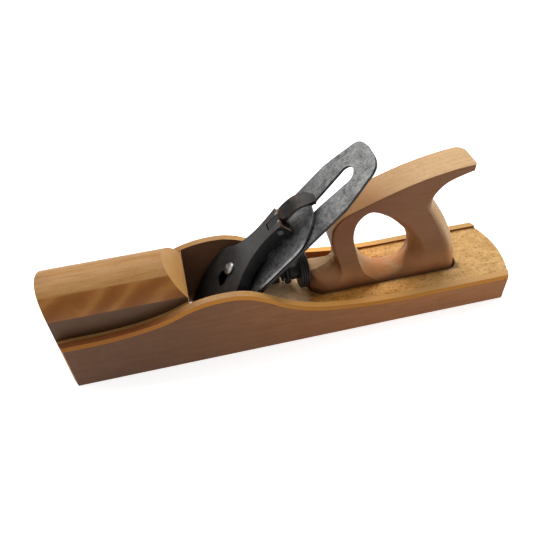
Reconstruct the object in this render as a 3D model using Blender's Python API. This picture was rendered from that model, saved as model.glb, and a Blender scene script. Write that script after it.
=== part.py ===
"""Wooden jack plane with a closed handle, a double iron and a screw-fed depth adjuster.

Frame: +X towards the heel, +Y towards the plane's right side, +Z up, origin on the sole
under the middle of the plane. Lengths in the constants are millimetres.
"""

import math

import bmesh
import bpy
from mathutils import Matrix, Vector

MM = 0.001

# Stock
LENGTH = 355.6          # toe apex to heel apex, fourteen inches
WIDTH = 70.0
END_RISE = 8.9          # how far the rounded toe and heel stand out past their corners
RIM = 7.0               # thickness of the side walls
RIM_CHAMFER = 2.0
DECK_Z = 22.0           # floor of the rear recess
QUIRK_DEPTH = 2.0       # step from the side wall down to the floor beside the nose block
BED_BLOCK_Z = 31.0      # top of the wood that carries the frog
BED_BLOCK_BACK = [(-8.0, 31.0), (-3.0, 30.2), (1.5, 27.8), (4.5, 24.6), (8.5, 22.5), (12.0, 22.0)]
MORTISE_FLOOR_Z = 12.0
CREST = (-55.0, 60.9)

# Nose block in front of the throat
NOSE_HALF_WIDTH = 23.7
NOSE_WALL_Z = 59.9
NOSE_TOP_Z = 78.9
NOSE_BEVEL = math.radians(56.0)
NOSE_BEVEL_Z = 58.6

# Bed and mouth
BED_ANGLE = math.radians(46.0)
EDGE_X = -77.5          # where the upper face of the iron meets the sole
MOUTH_FRONT_X = -79.0
THROAT_FRONT_X = -77.8
MOUTH_HALF_WIDTH = 26.0
MOUTH_DEPTH = 6.0
FIT = 0.3               # gap kept between neighbouring pieces

# Irons, measured along the bed (s), across (y) and square to the bed (t)
IRON_WIDTH = 50.8
IRON_THICK = 2.1
IRON_EDGE_S = 0.6
IRON_SHOULDER_S = 158.0
IRON_TIP_S = 193.5
CAP_IRON_LOW_T = 0.9
CAP_IRON_THICK = 2.1
CAP_IRON_APEX_S = 138.4
SLOT_HALF_WIDTH = 4.3

# Lever cap and its cam lever
FACE_THICK = 1.6
LEVER_CAP_TOP_S = 118.5
CAM_PIN = (113.8, 12.6)
CAM_PIN_RADIUS = 1.5
CAP_SCREW_S = 62.5
CAP_SCREW_HEAD_RADIUS = 5.0
CAP_SCREW_SHANK_RADIUS = 2.9
KEYHOLE_TRAVEL = 9.5

# Depth adjuster
WHEEL_Z = 40.3
WHEEL_RADIUS = 14.0
WHEEL_FRONT_X = 6.8
WHEEL_BACK_X = 14.0
HUB_FRONT_X = -6.4
GROOVE = (-5.0, 0.0)
GROOVE_RADIUS = 4.7
STUD_RADIUS = 2.9
YOKE_PIVOT = (-3.9, 55.4)
YOKE_HALF_WIDTH = 2.0
YOKE_TIP_S = 91.0
FROG_HALF_WIDTH = 7.0
BOSS_HALF_WIDTH = 5.2
FOOT_HALF_WIDTH = 15.2

# Handle
TOTE_THICK = 24.5
TOTE_NOSE_X = 14.9
TOTE_BACK_X = 137.6
HORN_END_X = 131.6
HORN_CORNER = 8.0

INNER = WIDTH / 2 - RIM

# Side-wall line from toe to heel, as (x, z)
CHEEK_LINE = [(-168.9, 42.3), (-129.0, 43.5), (-98.0, 49.2), (-75.0, 58.1), CREST, (-39.0, 58.9),
              (-23.5, 51.4), (-8.0, 40.9), (12.0, 32.5), (35.0, 27.9), (66.0, 24.4), (110.0, 24.0)]

PLANE_SIDE = Matrix(((1, 0, 0, 0), (0, 0, -1, 0), (0, 1, 0, 0), (0, 0, 0, 1)))
PLANE_FRONT = Matrix(((0, 0, 1, 0), (1, 0, 0, 0), (0, 1, 0, 0), (0, 0, 0, 1)))
PLANE_TOP = Matrix.Identity(4)

BED_S = Vector((math.cos(BED_ANGLE), 0.0, math.sin(BED_ANGLE)))
BED_T = Vector((-math.sin(BED_ANGLE), 0.0, math.cos(BED_ANGLE)))
BED_ORIGIN = Vector((EDGE_X, 0.0, 0.0))


def bed_point(s, t, y=0.0):
    """World point, in millimetres, of a place given along and square to the bed."""
    point = BED_ORIGIN + BED_S * s + BED_T * t
    return Vector((point.x, y, point.z))


def bed_matrix(second):
    """Frame on the bed whose first axis climbs the bed and whose second is T or Y."""
    axis_y = BED_T if second == "T" else Vector((0.0, 1.0, 0.0))
    axis_z = BED_S.cross(axis_y)
    columns = Matrix((BED_S, axis_y, axis_z)).transposed().to_4x4()
    columns.translation = BED_ORIGIN * MM
    return columns


PLANE_BED_SIDE = bed_matrix("T")
PLANE_BED = bed_matrix("Y")


# ---------------------------------------------------------------- helpers

def make_collection(name):
    collection = bpy.data.collections.new(name)
    bpy.context.scene.collection.children.link(collection)
    return collection


def make_material(name, colour, roughness, metallic):
    material = bpy.data.materials.new(name)
    material.use_nodes = True
    shader = material.node_tree.nodes["Principled BSDF"]
    shader.inputs["Base Color"].default_value = (*colour, 1.0)
    shader.inputs["Roughness"].default_value = roughness
    shader.inputs["Metallic"].default_value = metallic
    material.diffuse_color = (*colour, 1.0)
    return material


def add_loop(curve, knots):
    """One closed Bezier loop. A knot is (u, v) for a corner or (u, v, 'smooth')."""
    spline = curve.splines.new("BEZIER")
    spline.bezier_points.add(len(knots) - 1)
    for point, knot in zip(spline.bezier_points, knots):
        kind = "AUTO" if len(knot) == 3 else "VECTOR"
        point.co = (knot[0] * MM, knot[1] * MM, 0.0)
        point.handle_left_type = kind
        point.handle_right_type = kind
    spline.use_cyclic_u = True


def prism(name, loops, low, high, plane, bevel=0.0, resolution=4):
    """Solid between low and high along the plane's normal, from its outline and holes."""
    curve = bpy.data.curves.new(name, "CURVE")
    curve.dimensions = "2D"
    curve.fill_mode = "BOTH"
    curve.resolution_u = resolution
    curve.extrude = ((high - low) / 2 - bevel) * MM
    if bevel > 0:
        curve.bevel_depth = bevel * MM
        curve.bevel_resolution = 0
        curve.offset = -bevel * MM
    for knots in loops:
        add_loop(curve, knots)
    source = bpy.data.objects.new(name + "_curve", curve)
    bpy.context.scene.collection.objects.link(source)
    shift = Matrix.Translation((0.0, 0.0, (low + high) / 2 * MM))
    placing = plane @ shift
    graph = bpy.context.evaluated_depsgraph_get()
    mesh = bpy.data.meshes.new_from_object(source.evaluated_get(graph))
    bpy.data.objects.remove(source)
    work = bmesh.new()
    work.from_mesh(mesh)
    bmesh.ops.remove_doubles(work, verts=work.verts, dist=1e-6)
    bmesh.ops.transform(work, matrix=placing, verts=work.verts)
    bmesh.ops.recalc_face_normals(work, faces=work.faces)
    work.to_mesh(mesh)
    work.free()
    return bpy.data.objects.new(name, mesh)


def arc(centre, radius, start, end, steps):
    """Points on a circle, both ends included. Angles are in degrees."""
    points = []
    for index in range(steps + 1):
        angle = math.radians(start + (end - start) * index / steps)
        points.append((centre[0] + radius * math.cos(angle), centre[1] + radius * math.sin(angle)))
    return points


def rectangle(u0, u1, v0, v1):
    return [(u0, v0), (u1, v0), (u1, v1), (u0, v1)]


def turned(name, profile, origin, axis, sides=24):
    """Turned piece: profile is (distance along the axis, radius), from one end to the other."""
    work = bmesh.new()
    rings = []
    for along, radius in profile:
        ring = []
        for index in range(sides):
            angle = 2 * math.pi * index / sides
            place = Vector((radius * math.cos(angle), radius * math.sin(angle), along)) * MM
            ring.append(work.verts.new(place))
        rings.append(ring)
    for below, above in zip(rings, rings[1:]):
        for index in range(sides):
            after = (index + 1) % sides
            work.faces.new((below[index], below[after], above[after], above[index]))
    work.faces.new(list(reversed(rings[0])))
    work.faces.new(rings[-1])
    turn = Vector((0.0, 0.0, 1.0)).rotation_difference(Vector(axis)).to_matrix().to_4x4()
    bmesh.ops.transform(work, matrix=turn, verts=work.verts)
    bmesh.ops.recalc_face_normals(work, faces=work.faces)
    mesh = bpy.data.meshes.new(name)
    work.to_mesh(mesh)
    work.free()
    piece = bpy.data.objects.new(name, mesh)
    piece.location = Vector(origin) * MM
    return piece


def combine(target, tool, operation):
    """Cut, join or intersect the target with a tool that stays as a hidden guide."""
    cutters.objects.link(tool)
    tool.hide_render = True
    tool.display_type = "WIRE"
    modifier = target.modifiers.new(operation.lower(), "BOOLEAN")
    modifier.operation = operation
    modifier.solver = "EXACT"
    modifier.object = tool


def finish(piece, material, origin=None, smooth=30.0):
    """Put a piece in the model, give it its material and set its origin in millimetres."""
    piece.data.materials.clear()
    piece.data.materials.append(material)
    parts.objects.link(piece)
    piece.data.shade_smooth()
    piece.data.set_sharp_from_angle(angle=math.radians(smooth))
    if origin is not None:
        place = Vector(origin) * MM
        piece.data.transform(Matrix.Translation(-place))
        piece.location = place
    return piece


# ---------------------------------------------------------------- wood

def end_arc(sign):
    """The rounded toe or heel in plan, from one side of the stock to the other."""
    half = WIDTH / 2
    radius = (half * half + END_RISE * END_RISE) / (2 * END_RISE)
    spread = math.degrees(math.asin(half / radius))
    centre = (sign * (LENGTH / 2 - radius), 0.0)
    middle = 0.0 if sign > 0 else 180.0
    return arc(centre, radius, middle - spread, middle + spread, 14)


def cheek_outline(drop, floor_z, low_x, high_x):
    """Side-wall line lowered by drop and closed along floor_z between two ends."""
    knots = [(x, z - drop, "smooth") for x, z in CHEEK_LINE if low_x < x < high_x]
    first = (low_x, CHEEK_LINE[0][1] - drop)
    last = (high_x, CHEEK_LINE[-1][1] - drop)
    return [(low_x, floor_z), first] + knots + [last, (high_x, floor_z)]


def make_body():
    reach = LENGTH / 2 + 5
    stock = prism("body", [cheek_outline(0.0, -5.0, -reach, reach)], -WIDTH / 2, WIDTH / 2, PLANE_SIDE,
                  bevel=RIM_CHAMFER, resolution=3)

    front_line = cheek_outline(QUIRK_DEPTH, 110.0, -reach - 5, THROAT_FRONT_X - 0.5)
    front_line[-2] = (THROAT_FRONT_X - 0.5, 57.2 - QUIRK_DEPTH)
    combine(stock, prism("cut_quirk", [front_line], -INNER, INNER, PLANE_SIDE, resolution=3), "DIFFERENCE")

    crown_rise = NOSE_TOP_Z - NOSE_WALL_Z
    crown_radius = (NOSE_HALF_WIDTH ** 2 + crown_rise ** 2) / (2 * crown_rise)
    spread = math.degrees(math.asin(NOSE_HALF_WIDTH / crown_radius))
    crown = arc((0.0, NOSE_TOP_Z - crown_radius), crown_radius, 90 + spread, 90 - spread, 16)
    section = [(NOSE_HALF_WIDTH, 35.0), (-NOSE_HALF_WIDTH, 35.0)] + crown
    nose = prism("nose", [section], -reach, THROAT_FRONT_X + 5, PLANE_FRONT)
    bevel_run = (NOSE_TOP_Z + 2 - NOSE_BEVEL_Z) / math.tan(NOSE_BEVEL)
    side = [(-reach - 5, 30.0), (THROAT_FRONT_X - 0.5, 30.0), (THROAT_FRONT_X - 0.5, NOSE_BEVEL_Z),
            (THROAT_FRONT_X - bevel_run, NOSE_TOP_Z + 2), (-reach - 5, NOSE_TOP_Z + 2)]
    combine(nose, prism("cut_nose_side", [side], -30.0, 30.0, PLANE_SIDE), "INTERSECT")
    combine(stock, nose, "UNION")

    plan = end_arc(1) + end_arc(-1)
    combine(stock, prism("cut_plan", [plan], 0.0, 110.0, PLANE_TOP), "INTERSECT")

    bed_low = -(IRON_THICK + FIT)
    top_s = (BED_BLOCK_Z - bed_low * math.cos(BED_ANGLE)) / math.sin(BED_ANGLE)
    low_s = (MOUTH_DEPTH - bed_low * math.cos(BED_ANGLE)) / math.sin(BED_ANGLE)
    bed_top = bed_point(top_s, bed_low)
    bed_foot = bed_point(low_s, bed_low)
    lean = (THROAT_FRONT_X - MOUTH_FRONT_X) / NOSE_BEVEL_Z
    throat = [(MOUTH_FRONT_X + lean * MOUTH_DEPTH, MOUTH_DEPTH), (bed_foot.x, MOUTH_DEPTH),
              (bed_top.x, BED_BLOCK_Z), *BED_BLOCK_BACK, (reach + 5, DECK_Z), (reach + 5, 110.0),
              (MOUTH_FRONT_X + lean * 110.0, 110.0)]
    combine(stock, prism("cut_throat", [throat], -INNER, INNER, PLANE_SIDE), "DIFFERENCE")

    sole_s = (-2.0 - bed_low * math.cos(BED_ANGLE)) / math.sin(BED_ANGLE)
    over_s = (MOUTH_DEPTH + 1.0 - bed_low * math.cos(BED_ANGLE)) / math.sin(BED_ANGLE)
    mouth = [(MOUTH_FRONT_X - lean * 2.0, -2.0), (bed_point(sole_s, bed_low).x, -2.0),
             (bed_point(over_s, bed_low).x, MOUTH_DEPTH + 1.0),
             (MOUTH_FRONT_X + lean * (MOUTH_DEPTH + 1.0), MOUTH_DEPTH + 1.0)]
    combine(stock, prism("cut_mouth", [mouth], -MOUTH_HALF_WIDTH, MOUTH_HALF_WIDTH, PLANE_SIDE), "DIFFERENCE")

    groove = rectangle(20.0, 60.0, bed_low - 4.6, 1.0)
    combine(stock, prism("cut_screw_groove", [groove], -9.0, 9.0, PLANE_BED_SIDE), "DIFFERENCE")

    mortise = tote_plan(0.9, 1.1)
    combine(stock, prism("cut_mortise", [mortise], MORTISE_FLOOR_Z, DECK_Z + 20.0, PLANE_TOP), "DIFFERENCE")

    for x, y in FOOT_SCREWS:
        hole = turned("cut_foot_screw", [(0.0, 1.9), (30.0, 1.9)], (x, y, BED_BLOCK_Z - 14.6), (0, 0, 1), 12)
        combine(stock, hole, "DIFFERENCE")
    front_screw = bed_point(FRONT_SCREW_S, FRONT_SCREW_END_T - 0.6)
    hole = turned("cut_front_screw", [(0.0, 1.9), (30.0, 1.9)], front_screw, BED_T, 12)
    combine(stock, hole, "DIFFERENCE")
    return finish(stock, WOOD)


def tote_plan(side_gap, back_gap):
    """Handle seen from above: a slim bar with a round nose and rounded back corners."""
    half = TOTE_THICK / 2 + side_gap * 0.6
    nose = TOTE_NOSE_X - side_gap
    back = TOTE_BACK_X + back_gap
    shoulder = nose + 11.5
    points = []
    for index in range(13):
        angle = math.pi * (0.5 + index / 12)
        points.append((shoulder + (shoulder - nose) * math.cos(angle), half * math.sin(angle)))
    for index in range(9):
        angle = math.pi * (-0.5 + index / 8)
        points.append((back - 8.5 + 8.5 * math.cos(angle), half * math.sin(angle)))
    return points


def make_tote():
    low = MORTISE_FLOOR_Z + 0.4
    outline = [(TOTE_NOSE_X, low), (TOTE_NOSE_X, 42.6), (16.0, 43.8), (26.8, 45.8, "smooth"),
               (34.8, 49.4), (34.4, 56.0, "smooth"), (31.6, 66.0, "smooth"), (29.8, 73.0, "smooth"),
               (30.2, 84.0, "smooth"), (36.5, 94.0, "smooth"), (51.6, 101.2, "smooth"),
               (68.0, 107.6, "smooth"), (86.5, 113.9, "smooth"), (103.0, 118.0, "smooth"),
               (119.0, 120.7, "smooth"), (HORN_END_X - 0.2, 121.8), (HORN_END_X, 116.4),
               (122.5, 113.8, "smooth"), (112.0, 108.8, "smooth"), (105.6, 100.5, "smooth"),
               (107.6, 91.4, "smooth"), (120.5, 71.3, "smooth"), (132.0, 46.5, "smooth"),
               (TOTE_BACK_X, 22.0), (TOTE_BACK_X, low)]
    hole = [(57.0, 94.6, "smooth"), (48.6, 88.5, "smooth"), (45.5, 75.0, "smooth"), (48.5, 61.0, "smooth"),
            (54.6, 47.8, "smooth"), (64.5, 35.8, "smooth"), (77.0, 31.0, "smooth"), (90.0, 34.8, "smooth"),
            (95.8, 47.0, "smooth"), (91.9, 62.0, "smooth"), (81.5, 76.5, "smooth"), (69.5, 88.5, "smooth")]
    half = TOTE_THICK / 2
    tote = prism("tote", [outline, hole], -half, half, PLANE_SIDE, resolution=3)
    combine(tote, prism("cut_tote_plan", [tote_plan(0.0, 0.0)], 0.0, 140.0, PLANE_TOP), "INTERSECT")
    corner_x = HORN_END_X - HORN_CORNER
    corner = arc((corner_x, half - HORN_CORNER), HORN_CORNER, 90, 0, 6)
    corner += [(145.0, half - HORN_CORNER), (145.0, 20.0), (corner_x, 20.0)]
    combine(tote, prism("cut_horn_corner", [corner], 105.0, 140.0, PLANE_TOP), "DIFFERENCE")
    for side_y in (-1, 1):
        flank = [(side_y * 4.4, 50.0), (side_y * 6.4, 43.6), (side_y * 9.2, 36.0), (side_y * 12.4, 24.5),
                 (side_y * 20.0, 24.5), (side_y * 20.0, 50.0)]
        combine(tote, prism("cut_foot_flank", [flank], 5.0, 33.0, PLANE_FRONT), "DIFFERENCE")
    return finish(tote, WOOD)


# ---------------------------------------------------------------- irons

def slot_outline(low_s, high_s, half, wide_half=0.0, wide_s=0.0):
    """Slot along the bed with round ends, which may widen to wide_half beyond wide_s."""
    end_half = wide_half or half
    bottom = [(low_s + half - half * math.cos(a), half * math.sin(a))
              for a in (math.radians(step) for step in (90, 60, 30, 0, -30, -60, -90))]
    top = [(high_s - end_half + end_half * math.cos(a), end_half * math.sin(a))
           for a in (math.radians(step) for step in (-90, -60, -30, 0, 30, 60, 90))]
    if wide_half:
        return bottom + [(wide_s, -half)] + top + [(wide_s, half)]
    return bottom + top


def make_iron():
    half = IRON_WIDTH / 2
    upper = [(IRON_SHOULDER_S, half), (168.0, 23.2, "smooth"), (180.0, 19.8, "smooth"),
             (187.5, 17.6, "smooth"), (191.4, 13.6, "smooth"), (IRON_TIP_S, 0.0, "smooth")]
    mirrored = [(knot[0], -knot[1], *knot[2:]) for knot in reversed(upper[:-1])]
    outline = [(0.0, -half), (0.0, half)] + upper + mirrored
    slot = slot_outline(26.0, 177.0, SLOT_HALF_WIDTH, 6.9, 142.0)
    iron = prism("iron", [outline, slot], -IRON_THICK, 0.0, PLANE_BED)
    bevel = [(-5.0, -5.0), (6.0, -5.0), (IRON_EDGE_S + 5.2, -IRON_THICK - 0.1), (IRON_EDGE_S, 0.0),
             (-5.0, 3.0)]
    combine(iron, prism("cut_iron_bevel", [bevel], -30.0, 30.0, PLANE_BED_SIDE), "DIFFERENCE")
    return finish(iron, STEEL, bed_point(0.0, 0.0))


def make_cap_iron():
    """Curved breaker plate with an arched top, clamped on the iron."""
    half = IRON_WIDTH / 2
    rise = CAP_IRON_APEX_S - 110.0
    arch = [(110.0 + rise * math.sin(a), half * math.cos(a))
            for a in (math.radians(step) for step in range(0, 181, 15))]
    outline = [(0.0, -half), (0.0, half)] + arch
    screw_slot = slot_outline(46.0, 78.0, 4.2)
    yoke_slot = rectangle(YOKE_TIP_S - 2.3, YOKE_TIP_S + 2.3, -4.2, 4.2)
    plate = prism("cap_iron", [outline, screw_slot, yoke_slot], -3.0, 10.0, PLANE_BED)
    low = CAP_IRON_LOW_T
    high = CAP_IRON_LOW_T + CAP_IRON_THICK
    side = [(2.0, 0.3), (4.5, 0.35), (9.0, low), (150.0, low), (150.0, high), (12.0, high),
            (8.0, high - 0.2), (4.5, 1.9)]
    combine(plate, prism("cut_cap_iron_side", [side], -30.0, 30.0, PLANE_BED_SIDE), "INTERSECT")
    tap = turned("cut_cap_iron_tap", [(-6.0, 3.6), (8.0, 3.6)], bed_point(CAP_IRON_SCREW_S, 0.0), BED_T, 16)
    combine(plate, tap, "DIFFERENCE")
    return finish(plate, DARK_STEEL)


def make_cap_iron_screw():
    low_t = -IRON_THICK - FIT
    profile = [(low_t - 3.6, 6.6), (low_t - 3.0, 7.2), (low_t, 7.2), (low_t, 3.3),
               (CAP_IRON_LOW_T + CAP_IRON_THICK - 0.2, 3.3)]
    return finish(turned("cap_iron_screw", profile, bed_point(CAP_IRON_SCREW_S, 0.0), BED_T), DARK_STEEL)


# ---------------------------------------------------------------- lever cap

CAP_IRON_SCREW_S = 35.0

# Half width of the lever cap at distances along the bed
LEVER_CAP_HALVES = [(60.0, 24.6), (66.0, 21.3), (75.0, 14.9), (84.0, 11.3), (93.0, 9.2), (103.0, 8.5),
                    (112.0, 9.1)]
# Upper face of the lever cap along the bed, as (s, t)
LEVER_CAP_FACE = [(19.0, 6.9), (29.0, 10.4), (39.0, 12.4), (48.0, 13.6), (60.0, 14.4), (75.0, 15.2),
                  (98.0, 16.3)]


def lever_cap_outline(inset):
    """Fishtail outline seen square to the bed, drawn in by inset."""
    knots = [(s, half - inset, "smooth") for s, half in LEVER_CAP_HALVES]
    low = 11.0 + inset * 1.2
    top_half = 9.9 - inset
    corner_half = 24.9 - inset
    right = [(low, corner_half - 3.0), (low + 3.0, corner_half), (55.0, corner_half)] + knots
    right.append((LEVER_CAP_TOP_S + inset * 3, top_half))
    left = [(knot[0], -knot[1], *knot[2:]) for knot in reversed(right)]
    return right + left


def lever_cap_side(drop, low_t):
    """Side profile between the face lowered by drop and the bottom of the flanges."""
    face = [(s, t - drop, "smooth") for s, t in LEVER_CAP_FACE]
    return ([(5.0, 4.2 - drop), (10.0, 4.2 - drop)] + face
            + [(130.0, 16.7 - drop), (130.0, low_t[2]), (74.0, low_t[2]), (60.0, low_t[1]), (15.0, low_t[1]),
               (5.0, low_t[0])])


def make_lever_cap():
    cap = prism("lever_cap", [lever_cap_outline(0.0)], 0.0, 25.0, PLANE_BED)
    shell = prism("cut_cap_side", [lever_cap_side(0.0, (3.4, 3.5, 5.8))], -30.0, 30.0, PLANE_BED_SIDE)
    combine(cap, shell, "INTERSECT")
    hollow = prism("cut_cap_hollow", [lever_cap_outline(1.5)], -5.0, 25.0, PLANE_BED)
    below_side = lever_cap_side(FACE_THICK, (-3.0, -3.0, -3.0))
    below = prism("cut_cap_below", [below_side], -30.0, 30.0, PLANE_BED_SIDE)
    combine(hollow, below, "INTERSECT")
    combine(cap, hollow, "DIFFERENCE")

    wide = CAP_SCREW_HEAD_RADIUS + 1.0
    narrow = CAP_SCREW_SHANK_RADIUS + 0.4
    wide_s = CAP_SCREW_S - KEYHOLE_TRAVEL - 0.6
    neck = math.degrees(math.asin(narrow / wide))
    keyhole = arc((wide_s, 0.0), wide, neck, 360 - neck, 18) + arc((CAP_SCREW_S, 0.0), narrow, -90, 90, 8)
    combine(cap, prism("cut_keyhole", [keyhole], 8.0, 25.0, PLANE_BED), "DIFFERENCE")

    notch = rectangle(106.9, 125.0, -3.4, 3.4)
    combine(cap, prism("cut_cam_notch", [notch], 10.0, 25.0, PLANE_BED), "DIFFERENCE")
    pivot = bed_point(*CAM_PIN, -20.0)
    bore = CAM_PIN_RADIUS + 0.3
    hole = turned("cut_pin_hole", [(0.0, bore), (40.0, bore)], pivot, (0, 1, 0))
    combine(cap, hole, "DIFFERENCE")
    return finish(cap, BLACK_STEEL)


def make_cam_lever():
    """Bent strap lever with a round knuckle on its pin and a cam lobe below it."""
    s, t = CAM_PIN
    knuckle = arc((s, t), 4.0, 200, 160, 2) + [(s - 5.2, t + 2.6), (s - 5.8, t + 3.0)]
    strap_top = [(108.0, 16.4), (119.0, 16.5), (124.0, 16.3, "smooth"), (128.5, 15.9, "smooth"),
                 (132.5, 15.2, "smooth"), (136.5, 13.7, "smooth"), (140.5, 11.2, "smooth"),
                 (143.5, 8.0, "smooth"), (145.3, 4.8)]
    strap_low = [(143.5, 4.2), (141.3, 8.0, "smooth"), (138.0, 10.9, "smooth"), (134.2, 12.7, "smooth"),
                 (130.2, 13.3, "smooth"), (125.5, 13.3, "smooth"), (121.0, 12.4)]
    lobe = [(120.6, 8.6), (118.2, 5.2), (115.4, 4.5), (112.0, 5.6)]
    outline = knuckle + strap_top + strap_low + lobe
    eye = arc((s, t), CAM_PIN_RADIUS + 0.3, 0, 337.5, 15)
    lever = prism("cam_lever", [outline, eye], -6.9, 6.9, PLANE_BED_SIDE)
    right = [(100.0, 2.9), (120.3, 2.9), (120.6, 4.6), (122.6, 6.2), (126.0, 8.0), (139.0, 8.0), (144.0, 4.5),
             (146.5, 0.0)]
    plan = right + [(s_knot, -y_knot) for s_knot, y_knot in reversed(right[:-1])]
    combine(lever, prism("cut_lever_plan", [plan], -5.0, 25.0, PLANE_BED), "INTERSECT")
    return finish(lever, RUSTY_STEEL, bed_point(*CAM_PIN))


def make_cam_pin():
    half = 10.6
    profile = [(-half, 1.9), (-half + 0.5, 2.4), (-half + 0.6, 2.4), (-half + 0.6, CAM_PIN_RADIUS),
               (half - 0.6, CAM_PIN_RADIUS), (half - 0.6, 2.4), (half - 0.5, 2.4), (half, 1.9)]
    return finish(turned("cam_pin", profile, bed_point(*CAM_PIN), (0, 1, 0), 16), DARK_STEEL)


def make_cap_spring():
    """Flat spring under the cam, whose front end lies against the inside of the lever cap."""
    upper = [(90.0, 13.8), (97.0, 14.1), (101.5, 11.0, "smooth"), (104.5, 6.6, "smooth"),
             (109.0, 4.2, "smooth"), (118.0, 4.1)]
    lower = [(118.0, 3.4), (108.6, 3.5, "smooth"), (103.8, 5.9, "smooth"), (100.8, 10.4, "smooth"),
             (96.6, 13.4), (90.0, 13.1)]
    return finish(prism("cap_spring", [upper + lower], -5.0, 5.0, PLANE_BED_SIDE), STEEL)


def make_lever_cap_screw():
    low = 14.4 + 0.75
    profile = [(-7.9, CAP_SCREW_SHANK_RADIUS), (low, CAP_SCREW_SHANK_RADIUS), (low, CAP_SCREW_HEAD_RADIUS),
               (low + 0.9, CAP_SCREW_HEAD_RADIUS), (low + 1.7, 4.1), (low + 2.1, 2.4), (low + 2.25, 0.6)]
    screw = turned("lever_cap_screw", profile, bed_point(CAP_SCREW_S, 0.0), BED_T)
    slot = prism("cut_cap_screw_slot", [rectangle(CAP_SCREW_S - 0.5, CAP_SCREW_S + 0.5, -6.0, 6.0)],
                 low + 1.0, low + 5.0, PLANE_BED)
    combine(screw, slot, "DIFFERENCE")
    return finish(screw, BRIGHT_STEEL)


# ---------------------------------------------------------------- frog and depth adjuster

FOOT_Z = BED_BLOCK_Z + FIT
FOOT_THICK = 3.4
FOOT_SCREWS = [(-30.5, -11.2), (-30.5, 11.2)]
FRONT_SCREW_S = 53.0
FRONT_SCREW_END_T = -23.0


def make_frog():
    """Cast bracket: a sloping bar under the iron, a foot on the bed block and a boss for the stud."""
    face_t = -(IRON_THICK + FIT + 0.1)
    face_low = (FOOT_Z - face_t * math.cos(BED_ANGLE)) / math.sin(BED_ANGLE)
    start = bed_point(face_low, face_t)
    top = bed_point(106.0, face_t)
    top_back = bed_point(106.0, face_t - 5.0)
    neck = bed_point(88.0, face_t - 6.0)
    pivot_x, pivot_z = YOKE_PIVOT
    side = [(start.x, FOOT_Z), (top.x, top.z), (top_back.x, top_back.z), (neck.x, neck.z),
            (pivot_x + 3.4, pivot_z + 2.2), (pivot_x + 4.2, pivot_z), (pivot_x + 1.6, pivot_z - 3.6),
            (-8.5, 46.5), (-8.5, 35.6), (-24.5, 35.6), (-27.0, FOOT_Z)]
    frog = prism("frog", [side], -FROG_HALF_WIDTH, FROG_HALF_WIDTH, PLANE_SIDE)
    half = FOOT_HALF_WIDTH
    wings = [(-36.0, 3.0 - half), (-33.0, -half), (-28.0, -half), (-25.5, 3.0 - half),
             (-25.5, half - 3.0), (-28.0, half), (-33.0, half), (-36.0, half - 3.0)]
    foot = prism("join_foot", [wings], FOOT_Z, FOOT_Z + FOOT_THICK, PLANE_TOP)
    combine(frog, foot, "UNION")

    gap_line = [bed_point(70.0, 1.0), bed_point(99.0, 1.0), bed_point(99.0, -9.0)]
    yoke_gap = [(-7.2, 46.5), *((point.x, point.z) for point in gap_line), (6.0, 60.0), (6.0, 44.0),
                (-4.0, 44.0)]
    gap = YOKE_HALF_WIDTH + 0.6
    combine(frog, prism("cut_yoke_gap", [yoke_gap], -gap, gap, PLANE_SIDE), "DIFFERENCE")
    for side_y in (-1, 1):
        low, high = sorted((side_y * BOSS_HALF_WIDTH, side_y * 14.0))
        beside_boss = rectangle(-22.0, 0.0, 35.0, 46.0)
        combine(frog, prism("cut_boss_side", [beside_boss], low, high, PLANE_SIDE), "DIFFERENCE")

    screw_foot = bed_point(CAP_SCREW_S, 0.0)
    screw_hole = turned("cut_cap_screw_hole", [(-8.6, 3.2), (8.0, 3.2)], screw_foot, BED_T, 16)
    combine(frog, screw_hole, "DIFFERENCE")
    stud_hole = turned("cut_stud_hole", [(0.0, 3.2), (20.0, 3.2)], (-20.6, 0.0, WHEEL_Z), (1, 0, 0), 16)
    combine(frog, stud_hole, "DIFFERENCE")
    pivot = (pivot_x, 0.0, pivot_z)
    pin_hole = turned("cut_yoke_pin_hole", [(-20.0, 1.8), (20.0, 1.8)], pivot, (0, 1, 0), 16)
    combine(frog, pin_hole, "DIFFERENCE")
    for x, y in FOOT_SCREWS:
        combine(frog, turned("cut_foot_hole", [(-5.0, 2.4), (10.0, 2.4)], (x, y, FOOT_Z), (0, 0, 1), 16),
                "DIFFERENCE")
    front = turned("cut_front_hole", [(-30.0, 2.4), (face_t - 2.6, 2.4), (face_t + 0.6, 5.6), (5.0, 5.6)],
                   bed_point(FRONT_SCREW_S, 0.0), BED_T, 16)
    combine(frog, front, "DIFFERENCE")
    return finish(frog, CAST_IRON)


def make_foot_screw(index, x, y):
    """Slotted round-head wood screw through the frog's foot, with its washer."""
    washer_z = FOOT_Z + FOOT_THICK + 0.3
    washer = turned("frog_washer_%d" % index, [(0.0, 3.9), (0.7, 3.9)], (x, y, washer_z), (0, 0, 1), 20)
    bore = turned("cut_washer_bore", [(-3.0, 2.2), (4.0, 2.2)], (x, y, washer_z), (0, 0, 1), 16)
    combine(washer, bore, "DIFFERENCE")
    finish(washer, DARK_STEEL)
    head_z = washer_z + 1.0
    profile = [(BED_BLOCK_Z - 14.0 - head_z, 0.5), (BED_BLOCK_Z - 11.0 - head_z, 1.5), (0.0, 1.5), (0.0, 3.2),
               (0.6, 3.2), (1.6, 2.4), (2.1, 1.0)]
    screw = turned("frog_screw_%d" % index, profile, (x, y, head_z), (0, 0, 1), 16)
    slot = prism("cut_foot_screw_slot", [rectangle(x - 0.4, x + 0.4, y - 5, y + 5)], head_z + 0.9, head_z + 5,
                 PLANE_TOP)
    combine(screw, slot, "DIFFERENCE")
    return finish(screw, DARK_STEEL)


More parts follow.
